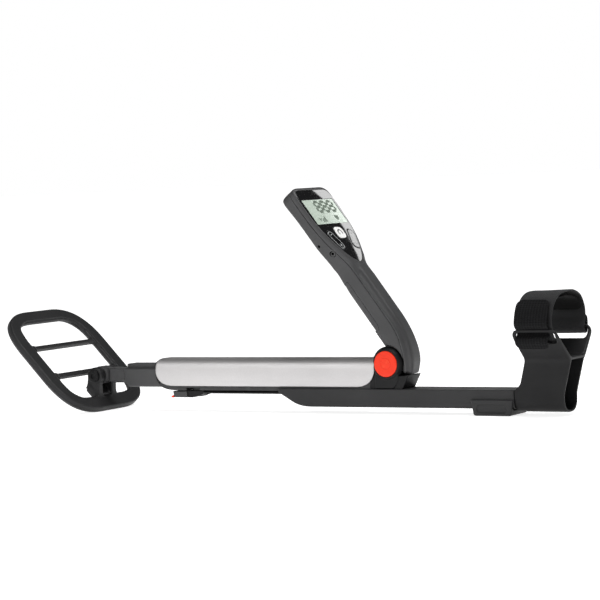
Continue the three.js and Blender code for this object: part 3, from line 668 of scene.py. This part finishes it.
def lever(x, y, z):
    side = np.abs(y)
    blade = both(within(PADDLE, x, z), side - 14, 1.2)
    arm = both(within(LEVER_ARM, x, z), side - 7.6, 0.4)
    cam = both(disc(x, z, LEVER_PIN_X, LEVER_PIN_Z, 7.1), side - 7.6, 0.4)
    cam = both(cam, np.maximum(x + 270.5, -41.4 - z))
    slot = both(both(np.abs(x + 297), -41.7 - z) - 0.5, side - 12)
    body = without(either(blade, either(arm, cam)), slot, 0.3)
    return without(body, disc(x, z, LEVER_PIN_X, LEVER_PIN_Z, 2.2))


def lever_cheeks(x, y, z):
    side = np.abs(y)
    body = both(within(MOUNT, x, z), span(side, 8.4, 12.9), 0.8)
    bridge = both(both(span(x, -266.2, -262), side - 12), span(z, -36, -33.7))
    pin = both(disc(x, z, LEVER_PIN_X, LEVER_PIN_Z, 2.2), side - 12.4)
    return without(either(body, bridge), pin)


BLADE_Y, CHEEK_Y = steps(-15.5, 15.5, 0.5), steps(-14, 14, 0.5)
piece("lever_blade", net(lever, steps(-309, -268, 0.5), BLADE_Y, steps(-44, -29, 0.4)),
      SHAFT, "lever", SHAFT_BLACK, ["cam_lever"])
piece("lever_cheeks", net(lever_cheeks, steps(-287, -260, 0.5), CHEEK_Y, steps(-44, -32, 0.4)),
      SHAFT, "main_shaft", DARK, ["lever_mount"])


# ---- Pivot ----

PIVOT_BORE = 5.3
CHEEK = outline((-24, 6), (-46, 6), (-46, -33.3), (4, -33.3, 9), (15.5, -19, 7), (12, 0))
GUARD = outline((4, -33.3), (17, -33.3, 2), (27.6, -13.4, 1), (20, -14.2), (4, -14.2))


def housing(x, y, z):
    side = np.abs(y)
    radius = np.hypot(x, z)
    cheek = within(CHEEK, x, z)
    outer = both(both(cheek, span(side, 12.6, 17.5), 1.6), -28.8 - z)
    outer = without(outer, within(COVER_SIDE, x, z) - 0.3)
    inner = both(both(cheek, span(side, 12.6, 15.4)), -33.3 - z)
    slope = (21 - (side - 12.6) * 0.47 - radius) * -0.905
    drum = both(slope, span(side, 12.6, 20.5), 2.2)
    base = both(both(span(x, -24, 13), side - 13), span(z, -33.3, -19.5), 1)
    body = either(either(either(outer, inner), drum, 1.2), base)
    body = without(body, both(radius - 15.8, 14.6 - side), 0.6)
    body = without(body, both(within(COVER_SIDE, x, z) - 0.3, 15.7 - side))
    body = without(body, both(x + 16.2, -1.6 - within(COVER_SECTION, y, z)))
    guard = both(both(within(GUARD, x, z), side - 15.8, 1), -both(radius - 18.2, side - 12.4))
    return without(either(body, guard, 0.6), radius - PIVOT_BORE, 0.3)


# Half sections turned round the pivot's axis: (radius, y).
BUTTON_FACE = [(0, -21.0), (5.7, -21.0), (6.0, -21.3), (6.9, -21.3), (7.2, -21.0), (13.0, -21.0),
               (14.4, -20.9), (15.1, -20.5), (15.4, -19.8), (15.4, -17.6), (0, -17.6)]
CAP_FACE = [(0, 14.9), (15.4, 14.9), (15.4, 19.2), (15.0, 20.1), (14.0, 20.6), (11.5, 20.6),
            (11.1, 20.2), (4.0, 20.0), (3.6, 20.4), (0, 20.5)]

HOUSING_GRID = steps(-47.5, 29, 0.7), steps(-22, 22, 0.7), steps(-35, 23, 0.7)
piece("pivot_housing", net(housing, *HOUSING_GRID),
      SHAFT, "main_shaft", DARK, ["hinge_housing"])
piece("fold_button", lathe(BUTTON_FACE),
      SHAFT, "release", ORANGE, ["release_button"], smooth_angle=35)
piece("far_cap", lathe(CAP_FACE),
      SHAFT, "main_shaft", DARK, ["pivot_cap"], smooth_angle=35)


# ---- Handle ----

GRIP_SIDE = outline((-135, 18), (-135, 40.5), (-120, 40.5, 8), (-104, 42.2, 8), (-20, 42.2, 22),
                    (14, 30.5, 16), (27.3, 15.5, 3), (22.9, 7.8, 1), (0, 9.2), (-107, 9.2, 16),
                    steps=12)
GRIP_BAY = rectangle(-14.6, 11.1, 14.6, 40.3, 5, 8)
# The rear shell's side of the seam between the handle's two shells.
SEAM_LINE = outline((-300, 80), (-300, 33.5), (-20, 33.5, 14), (4, 23.5, 8), (18.8, 14.6, 6),
                    (23.5, 4.7, 4), (22.5, -10), (60, -10), (60, 80))
DOOR_SIDE = outline((-37, -5), (-37, 19.5, 9), (-107, 19.5), (-107, -5))


def pod_plan(inset):
    half = 42 - inset
    neck = 16.5 - inset
    tip = -233 + inset
    return outline((tip, -half, 16), (-165, -half + 1, 34), (-122, -neck - 1, 20), (-104, -neck),
                   (-104, neck), (-122, neck + 1, 20), (-165, half - 1, 34), (tip, half, 16))


def pod_side(inset, roof):
    end = -233 + inset
    return outline((-104, roof), (-104, 9.2 + inset), (-133, 16 + inset, 12),
                   (-185, 22.4 + inset, 20), (end + 3, 19.5 + inset, 4),
                   (end - 0.4, 26, 4), (end - 0.4, roof))


POD_PLAN, POD_SIDE = pod_plan(0), pod_side(0, 40.5)
POD_PLAN_IN, POD_SIDE_IN = pod_plan(2.4), pod_side(2.4, 36.2)
WALL = 1.7


def handle_body(x, y, z):
    """The whole handle's field, the seam between its shells, and the room inside it."""
    side = np.abs(y)
    seam = within(SEAM_LINE, x, z)
    grip = both(within(GRIP_SIDE, x, z), side - 16.5, 11)
    pod = both(within(POD_PLAN, x, y), within(POD_SIDE, x, z), 4)
    body = either(grip, pod + 4 * np.clip((x + 128) / 24, 0, 1), 5)
    hollow = np.clip((x + 132) / 30, 0, 1) * 1.5 * np.exp(-((seam + 4.6) / 2.8) ** 2)
    body = body + hollow * np.clip((side - 8) / 4, 0, 1)
    radius = np.hypot(x, z)
    body = without(body, both(radius - 21.7, 12.2 - side), 0.9)
    tongue = both(radius - 17.5, side - 12.2, 0.8)
    link = both(both(span(x, -40, 2), side - 12.2), span(z, 8, 22))
    body = either(body, either(tongue, both(link, within(GRIP_SIDE, x, z))), 0.8)
    bay = both(within(GRIP_BAY, y, z), span(x, -103, -27))
    pod_room = both(within(POD_PLAN_IN, x, y), within(POD_SIDE_IN, x, z))
    return body, seam, np.maximum(np.minimum(bay, pod_room), body + WALL)


def handle_front(x, y, z):
    body, seam, room = handle_body(x, y, z)
    body = both(body, 0.05 - seam, 1.0)
    body = without(body, within(DOOR_SIDE, x, z), 0.3)
    body = without(body, room)
    body = without(body, np.hypot(x, z) - PIVOT_BORE, 0.3)
    socket = both(disc(x, z, -141, 29.6, 3.4), y + 14)
    screw = both(disc(x, z, -157, 24.2, 1.5), y + 20)
    return without(without(body, socket, 0.6), screw, 0.4)


PANEL = outline((-228, -39.5, 13), (-167, -38.5, 34), (-126, -13, 9), (-118, 0, 8), (-126, 13, 9),
                (-167, 38.5, 34), (-228, 39.5, 13), steps=12)


def handle_rear(x, y, z):
    body, seam, room = handle_body(x, y, z)
    body = both(body, seam + 0.05, 1.0)
    body = without(body, room)
    body = without(body, np.hypot(x, z) - 22.3)
    panel = within(PANEL, x, y)
    body = without(body, both(panel - 0.3, 38.2 - z), 0.6)
    return without(body, both(panel + 3, 30 - z))


def handle_door(x, y, z):
    body, _, room = handle_body(x, y, z)
    body = both(body, within(DOOR_SIDE, x, z) + 0.15, 0.3)
    return without(body, room)


HANDLE_X = steps(-235, 27, 1.0)
FRONT_Z = np.r_[steps(-19, 5, 2), steps(6, 36, 0.9)]
piece("handle_front", net(handle_front, HANDLE_X, steps(-44, 44, 0.9), FRONT_Z),
      HANDLE, "handle", BLACK, ["handle_front_shell"])
piece("handle_rear", net(handle_rear, HANDLE_X, steps(-44, 44, 0.9), steps(-11, 44, 0.8)),
      HANDLE, "handle", BLACK, ["handle_rear_shell"])
DOOR_GRID = steps(-109, -35, 0.8), steps(-18, 18, 0.8), steps(7, 21, 0.8)
piece("handle_door", net(handle_door, *DOOR_GRID),
      HANDLE, "door", BLACK, ["battery_door"])


def shrunk(points, amount):
    """An outline moved inwards by about an amount."""
    out = []
    for i, p in enumerate(points):
        along = points[(i + 1) % len(points)] - points[i - 1]
        normal = np.array((-along[1], along[0])) / np.linalg.norm(along)
        out.append(p + normal * amount)
    return np.array(out)


def turned(points, x, y, degrees):
    c, s = math.cos(math.radians(degrees)), math.sin(math.radians(degrees))
    return points @ np.array(((c, s), (-s, c))) + np.array((x, y))


def ring_of(points, width):
    return [points, shrunk(points, width)[::-1]]


WINDOW_TOP = 40.2
LCD_BOTTOM, LCD_NEAR = -177, -35.5
LCD = rectangle(-214, LCD_NEAR, LCD_BOTTOM, 35.5, 1.5)
Key = namedtuple("Key", "node body x y length width corner turn")
CENTRE_KEY = Key("key_centre", "centre_key", -163.5, 0, 16.4, 18.5, 6, 0)
SIDE_KEYS = [Key("key_near", "near_key", -153, -20.5, 29, 13, 6.4, 24),
             Key("key_far", "far_key", -153, 20.5, 29, 13, 6.4, -24)]


def key_loop(key, inset):
    half, wide = key.length / 2 - inset, key.width / 2 - inset
    loop = rectangle(-half, -wide, half, wide, key.corner - inset / 2)
    return turned(loop, key.x, key.y, key.turn)


KEY_OPENINGS = [key_loop(key, -0.9) for key in (CENTRE_KEY, *SIDE_KEYS)]
flat_plate("pod_window", [shrunk(PANEL, 0.4), LCD] + KEY_OPENINGS, 38.4, WINDOW_TOP, 0.4,
           HANDLE, "handle", WINDOW, ["face_panel"])
flat_plate("display_pane", [rectangle(-213.4, -34.9, -177.6, 34.9, 1.2)], 38.5, 39.9, 0.3,
           HANDLE, "handle", DISPLAY, ["lcd_pane"])
flat_plate("centre_key", [key_loop(CENTRE_KEY, 0.8)], 36.7, 40.9, 0.8, HANDLE, "centre_key", WHITE,
           ["key_centre"])
for key in SIDE_KEYS:
    flat_plate(key.node + "_cap", [key_loop(key, 0.8)], 36.7, 40.8, 0.8, HANDLE, key.body, WINDOW,
               [key.node])
    flat_plate(key.node + "_ring", ring_of(key_loop(key, 1.2), 0.7), 40.75, 40.9, 0.02, HANDLE,
               key.body, PRINT)


def sideways(line):
    """Unit normals to the left of a line of points."""
    along = np.gradient(line, axis=0)
    along /= np.linalg.norm(along, axis=1)[:, None]
    return np.stack([-along[:, 1], along[:, 0]], 1)


def stroke(points, width):
    """A closed loop round an open line of points."""
    points = np.array(points, float)
    side = sideways(points) * width / 2
    return np.vstack([points - side, (points + side)[::-1]])


def minus_sign(at):
    return rectangle(at - 0.4, -2.2, at + 0.4, 2.2, 0.2)


def plus_sign(at):
    arm = np.array([(2.2, -0.4), (2.2, 0.4), (0.4, 0.4)])
    return np.vstack([turned(arm, at, 0, degrees) for degrees in (0, 90, 180, 270)])


def key_marks():
    """A turning arrow on the centre key; a minus and a plus at the ends of the side keys."""
    arc = [(-163.5 + 3.6 * math.cos(a), 4.0 * math.sin(a)) for a in np.linspace(0.9, 5.2, 20)]
    head = np.array([(-163.9, -5.6), (-159.3, -4.9), (-161.6, -1.6)])
    flat_plate("centre_key_mark", [stroke(arc, 1.5), head], 40.84, 40.94, 0.02, HANDLE,
               "centre_key", DARK)
    for key in SIDE_KEYS:
        signs = (minus_sign(-8.5), plus_sign(8.5))
        loops = [turned(sign, key.x, key.y, key.turn) for sign in signs]
        flat_plate(key.node + "_mark", loops, 40.75, 40.9, 0.02, HANDLE, key.body, PRINT)


key_marks()


# ---- Display marks ----

# Strokes of a figure, from its lower left corner, as shares of its width and height.
STROKES = [((0.05, 1), (0.95, 1)), ((1, 0.97), (1, 0.53)), ((1, 0.47), (1, 0.03)),
           ((0.05, 0), (0.95, 0)), ((0, 0.47), (0, 0.03)), ((0, 0.97), (0, 0.53)),
           ((0.05, 0.5), (0.95, 0.5))]


def bar(start, end, width):
    """A stroke with pointed ends, as a closed loop."""
    a, b = np.array(start, float), np.array(end, float)
    along = (b - a) / np.linalg.norm(b - a)
    side = np.array((-along[1], along[0])) * width / 2
    tip = along * width / 2
    return np.array([a, a + tip - side, b - tip - side, b, b - tip + side, a + tip + side])


def on_display(points):
    """From right and up on the display to the handle frame's x and y."""
    points = np.asarray(points, float)
    return np.stack([LCD_BOTTOM - points[:, 1], LCD_NEAR + points[:, 0]], 1)


def figure(right, up, wide, tall, thick):
    """A figure eight of seven strokes."""
    loops = []
    for ends in STROKES:
        start, end = (np.array((right, up)) + np.array(p) * (wide, tall) for p in ends)
        loops.append(on_display(bar(start, end, thick)))
    return loops


def display_marks():
    """Three figures above a wedge, three bars and a small shield."""
    loops = []
    for right in (22.8, 37.6, 52.4):
        loops += figure(right, 18.6, 11, 14.6, 4.0)
    loops.append(on_display(outline((10.6, 9.2, 0.6), (17.4, 9.2, 0.6), (14.4, 4.2, 0.6))))
    for i, tall in enumerate((4, 6.2, 8.6)):
        left = 18.4 + 3.1 * i
        loops.append(on_display(rectangle(left, 3.6, left + 2.3, 3.6 + tall, 0.4)))
    shield = outline((49, 12, 1), (49, 8, 1), (53, 4.4, 0.8), (57, 8, 1), (57, 12, 1))
    return loops + [on_display(shield)]


flat_plate("display_marks", display_marks(), 39.86, 39.96, 0.015, HANDLE, "handle", SEGMENT)


# ---- Armrest ----

TRAY_SIDE = outline((-151.5, -29.3), (-151.5, -34.3), (-120, -52.5, 14), (165, -52.5),
                    (165, -29.3), steps=12)
TRAY_SECTION = rectangle(-18.5, -52.5, 18.5, -29.3, 7, 1)


def tray(x, y, z):
    side = np.abs(y)
    body = both(within(TRAY_SIDE, x, z), within(TRAY_SECTION, y, z), 2)
    channel = both(both(side - 16.5, -50.5 - z, 4), within(TRAY_SIDE, x, z) + 2.0)
    body = without(body, channel, 0.8)
    ledge = both(span(side, 9, 17.5), both(span(z, -34.95, -33.8), span(x, -145.5, -60)))
    ledge = both(ledge, within(TRAY_SIDE, x, z) + 0.8)
    return either(body, ledge)


CUFF_SECTION = outline(
    (-18.5, -56, 17), (18.5, -56, 17), (18.5, 4, 4), (45, 32, 6), (46, 41), (43.4, 41),
    (42.4, 33, 6), (16.5, 8.4, 5), (-16.5, 8.4, 5), (-42.4, 33, 6), (-43.4, 41), (-46, 41),
    (-45, 32, 6), (-18.5, 4, 4), steps=12)
CUFF_SIDE = outline((165.3, -56), (165.3, -30.3), (173, -23.4, 3), (180.5, 6, 4), (178.5, 41.5, 9),
                    (236, 41.5, 12), (238.5, 7, 3), (227.5, -35, 4), (227.5, -56), steps=12)
KEEL = rectangle(-15.9, -53.4, 15.9, 4.8, 15, 1)
CUFF_WINDOW = rectangle(183.5, 25, 232, 37.6, 4)


def cuff(x, y, z):
    section = within(CUFF_SECTION, y, z)
    body = both(section, within(CUFF_SIDE, x, z), 1.8)
    body = without(body, within(KEEL, y, z), 0.6)
    return without(body, both(within(CUFF_WINDOW, x, z), 20 - np.abs(y)), 1.2)


FOOT_SIDE = outline((110, -40), (113.5, -59.5, 3), (161.5, -59.5, 3), (164.5, -40))


def foot(x, y, z):
    side = np.abs(y)
    body = both(within(FOOT_SIDE, x, z), side - 21.5, 2.2)
    body = both(body, z + 41, 1.2)
    scoop = both(both(span(x, 118, 156), span(z, -56, -46.5), 5), 20.3 - side)
    body = without(body, scoop, 1)
    return without(body, both(side - 18.8, -52.8 - z, 6.5), 0.4)


TRAY_X = spaced((-153, -100, 0.9), (-100, 160, 6.5), (160, 166.6, 1))
piece("armrest_rail", net(tray, TRAY_X, steps(-20, 20, 0.6), steps(-54, -28, 0.6)),
      SHAFT, "armrest", RAIL_BLACK, ["armrest_tray"])
piece("armrest_cuff", net(cuff, steps(163, 241, 0.7), steps(-48, 48, 0.75), steps(-57.6, 43, 0.7)),
      SHAFT, "armrest", CUFF_BLACK, ["arm_cuff"])
piece("rear_foot", net(foot, steps(108, 167, 0.9), steps(-23, 23, 0.7), steps(-61, -39, 0.6)),
      SHAFT, "armrest", RAIL_BLACK, ["stand_foot"])


# ---- Arm strap ----

def curve_through(points, count):
    """A smooth line through points (Catmull-Rom), evenly spaced along its length."""
    points = np.array(points, float)
    padded = np.vstack([2 * points[0] - points[1], points, 2 * points[-1] - points[-2]])
    line = []
    for i in range(1, len(padded) - 2):
        a, b, c, d = padded[i - 1:i + 3]
        for t in np.linspace(0, 1, 24, endpoint=False):
            line.append(0.5 * (2 * b + (c - a) * t + (2 * a - 5 * b + 4 * c - d) * t * t
                               + (3 * b - a - 3 * c + d) * t ** 3))
    line.append(points[-1])
    line = np.array(line)
    length = np.concatenate([[0], np.cumsum(np.linalg.norm(np.diff(line, axis=0), axis=1))])
    even = np.linspace(0, length[-1], count)
    placed = np.stack([np.interp(even, length, line[:, k]) for k in range(2)], 1)
    return placed, length[-1]


RIB_TURN = 2 * math.pi / 2.4


def strap_band(name, line_points, front, rear, thick, ribs, seed, material, rounded=6.0):
    """A band of webbing along a line in the cuff's section (y, z), from front to rear along x."""
    rng = np.random.default_rng(seed)
    line, length = curve_through(line_points, 190)
    across = np.linspace(0, 1, 46)
    normal = -sideways(line)
    places = np.linspace(0, length, len(line))
    bend = np.interp(places, np.linspace(0, length, 9), rng.normal(0, 0.5, 9))
    points, faces = [], []
    rows, columns = len(line), len(across)
    for face in (1, -1):
        for i in range(rows):
            near_end = min(places[i], length - places[i])
            cut = rounded - math.sqrt(max(rounded ** 2 - max(rounded - near_end, 0) ** 2, 0))
            fullness = math.sin(math.pi * places[i] / length)
            for t in across:
                x0, x1 = front + cut + 0.5 * bend[i], rear - cut + 0.5 * bend[i]
                x = x0 + (x1 - x0) * t
                edge = min(t, 1 - t) * (x1 - x0)
                half = thick / 2 * min(1, 0.35 + edge / 1.2)
                rib = ribs * (0.5 + 0.5 * math.cos(places[i] * RIB_TURN)) if face == 1 else 0
                offset = face * half + face * rib * min(1, edge / 2)
                warp = 0.5 * math.sin(places[i] / 13 + 3 * t) * fullness
                y, z = line[i] + normal[i] * (offset + warp)
                points.append((x, y, z))

    def at(face, i, j):
        return (face * rows + i) * columns + j

    for i in range(rows - 1):
        for j in range(columns - 1):
            faces.append((at(0, i, j), at(0, i, j + 1), at(0, i + 1, j + 1), at(0, i + 1, j)))
            faces.append((at(1, i, j), at(1, i + 1, j), at(1, i + 1, j + 1), at(1, i, j + 1)))
    for i in range(rows - 1):
        for j, turn in ((0, 1), (columns - 1, -1)):
            quad = (at(0, i, j), at(0, i + 1, j), at(1, i + 1, j), at(1, i, j))
            faces.append(quad[::turn])
    for j in range(columns - 1):
        for i, turn in ((0, 1), (rows - 1, -1)):
            quad = (at(0, i, j), at(0, i, j + 1), at(1, i, j + 1), at(1, i, j))
            faces.append(quad[::turn])
    return piece(name, (points, faces), SHAFT, "armrest", material), length


# Lines of the strap's layers in the cuff's section: (y, z), from the near side to the far side.
LOOP_LINE = [(-33.2, 26.2), (-38, 31), (-40.8, 36), (-43.0, 46), (-41, 60), (-33, 72),
             (-18, 79.5), (0, 81.5), (19, 80.5), (35, 74.5), (45, 62), (46.6, 50), (42.4, 41),
             (41.3, 36.5), (44, 32), (48, 31), (50.4, 35.5), (50.8, 45), (49.6, 53)]
INNER_LINE = [(38.6, 58), (34.5, 66), (26, 72), (12, 75), (-2, 76.4), (-14, 76)]
TAB_LINE = [(-36, 73.5), (-42.5, 66), (-47, 57), (-49.5, 48), (-47.5, 43.5), (-43.2, 40),
            (-41.8, 36.5), (-43.6, 33.5), (-47.6, 31), (-48, 27), (-45.2, 22.8), (-42.6, 19.6)]

strap, strap_length = strap_band("strap_loop", LOOP_LINE, 184.2, 228.6, 1.6, 0.2, 3, STRAP_OUT)
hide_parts("arm_strap")
inner, inner_length = strap_band("strap_inner_end", INNER_LINE, 186, 227.6, 1.4, 0.2, 7, STRAP_INNER_SHADED)
tab, tab_length = strap_band("strap_tab", TAB_LINE, 184.0, 224.4, 1.2, 0.5, 5, STRAP_TAB)


# ---- Light and floor ----

FLOOR_Z = -0.0004
HORIZON, CEILING = 0.95, 0.06
CARD_GLOW = 3.4


def backdrop():
    """White paper under the object, brighter further out."""
    n = Nodes("floor_paper")
    fleck = n.ramp(n.noise(300, 3), 0.3, 0.7, 0, 1)
    n.set("Base Color", n.mix(fleck, (0.86, 0.86, 0.86, 1), (0.9, 0.9, 0.9, 1)))
    n.set("Roughness", 0.9)
    n.set("Emission Color", (1, 1, 1, 1))
    away = n.add("ShaderNodeVectorMath", {0: n.coords}, operation="LENGTH").outputs["Value"]
    n.set("Emission Strength", n.ramp(away, 0.35, 1.6, 0.78, 1.0))
    mesh = bpy.data.meshes.new("floor")
    corners = ((-30, -30), (30, -30), (30, 40), (-30, 40))
    mesh.from_pydata([(x, y, FLOOR_Z) for x, y in corners], [], [(0, 1, 2, 3)])
    mesh.materials.append(n.material)
    linked("floor", mesh)


def lamp(name, place, aim, size, watts):
    data = bpy.data.lights.new(name, "AREA")
    data.shape = "RECTANGLE"
    data.size, data.size_y = size
    data.energy = watts
    obj = linked(name, data)
    obj.location = place
    obj.rotation_euler = (Vector(aim) - Vector(place)).to_track_quat("-Z", "Y").to_euler()


def sky():
    """White where the camera sees it; for the object, a pale horizon under a dim ceiling."""
    world = bpy.data.worlds.new("studio")
    bpy.context.scene.world = world
    world.use_nodes = True
    tree = world.node_tree
    background = tree.nodes["Background"]
    direction = tree.nodes.new("ShaderNodeTexCoord")
    parts = tree.nodes.new("ShaderNodeSeparateXYZ")
    fall = tree.nodes.new("ShaderNodeMapRange")
    fall.interpolation_type = "SMOOTHSTEP"
    limits = {"From Min": 0.10, "From Max": 0.42, "To Min": HORIZON, "To Max": CEILING}
    for key, value in limits.items():
        fall.inputs[key].default_value = value
    seen = tree.nodes.new("ShaderNodeLightPath")
    choose = tree.nodes.new("ShaderNodeMix")
    choose.inputs[3].default_value = 1.0
    background.inputs[0].default_value = (1, 1, 1, 1)
    for output, socket in ((direction.outputs["Generated"], parts.inputs[0]),
                           (parts.outputs["Z"], fall.inputs["Value"]),
                           (seen.outputs["Is Camera Ray"], choose.inputs[0]),
                           (fall.outputs[0], choose.inputs[2]),
                           (choose.outputs[0], background.inputs[1])):
        tree.links.new(output, socket)


def window_card():
    """A lit card whose slanting edge is mirrored across the window over the display."""
    eye = bpy.context.scene.camera.matrix_world.translation
    normal = (HANDLE.to_3x3() @ Vector((0, 0, 1))).normalized()
    middle = HANDLE @ Vector((-175, 0, WINDOW_TOP))
    ahead = (middle - eye).normalized()
    mirrored = ahead - 2 * ahead.dot(normal) * normal
    centre = middle + mirrored * 1.5
    corners = []
    for x, y in CARD_CORNERS:
        spot = HANDLE @ Vector((x, y, WINDOW_TOP))
        ray = (spot - eye).normalized()
        ray = ray - 2 * ray.dot(normal) * normal
        reach = (centre - spot).dot(mirrored) / ray.dot(mirrored)
        corners.append(spot + ray * reach)
    n = Nodes("card")
    n.set("Emission Color", (1, 1, 1, 1))
    n.set("Emission Strength", CARD_GLOW)
    mesh = bpy.data.meshes.new("card")
    mesh.from_pydata([tuple(c) for c in corners], [], [tuple(range(len(corners)))])
    mesh.materials.append(n.material)
    card = linked("card", mesh)
    card.visible_camera = False


# Corners of the card as they show in the window: the handle frame's x and y.
CARD_CORNERS = [(-245, -7), (-231, 0.7), (-224.6, 7.8), (-215.2, 14), (-193.6, 16.6),
                (-169.3, 16.1), (-155.8, 13.1), (-142.5, 7.9), (-130.6, 4.4), (-112, -5),
                (-105, 60), (-245, 60)]


def studio():
    sky()
    window_card()
    lamp("overhead", place=(0.5, 0.1, 1.7), aim=(0, 0, 0.1), size=(1.5, 0.8), watts=24)
    lamp("front", place=(-0.9, -1.9, 1.0), aim=(-0.05, 0, 0.1), size=(1.2, 0.7), watts=9)
    bpy.context.scene.view_settings.view_transform = "Standard"


backdrop()
studio()
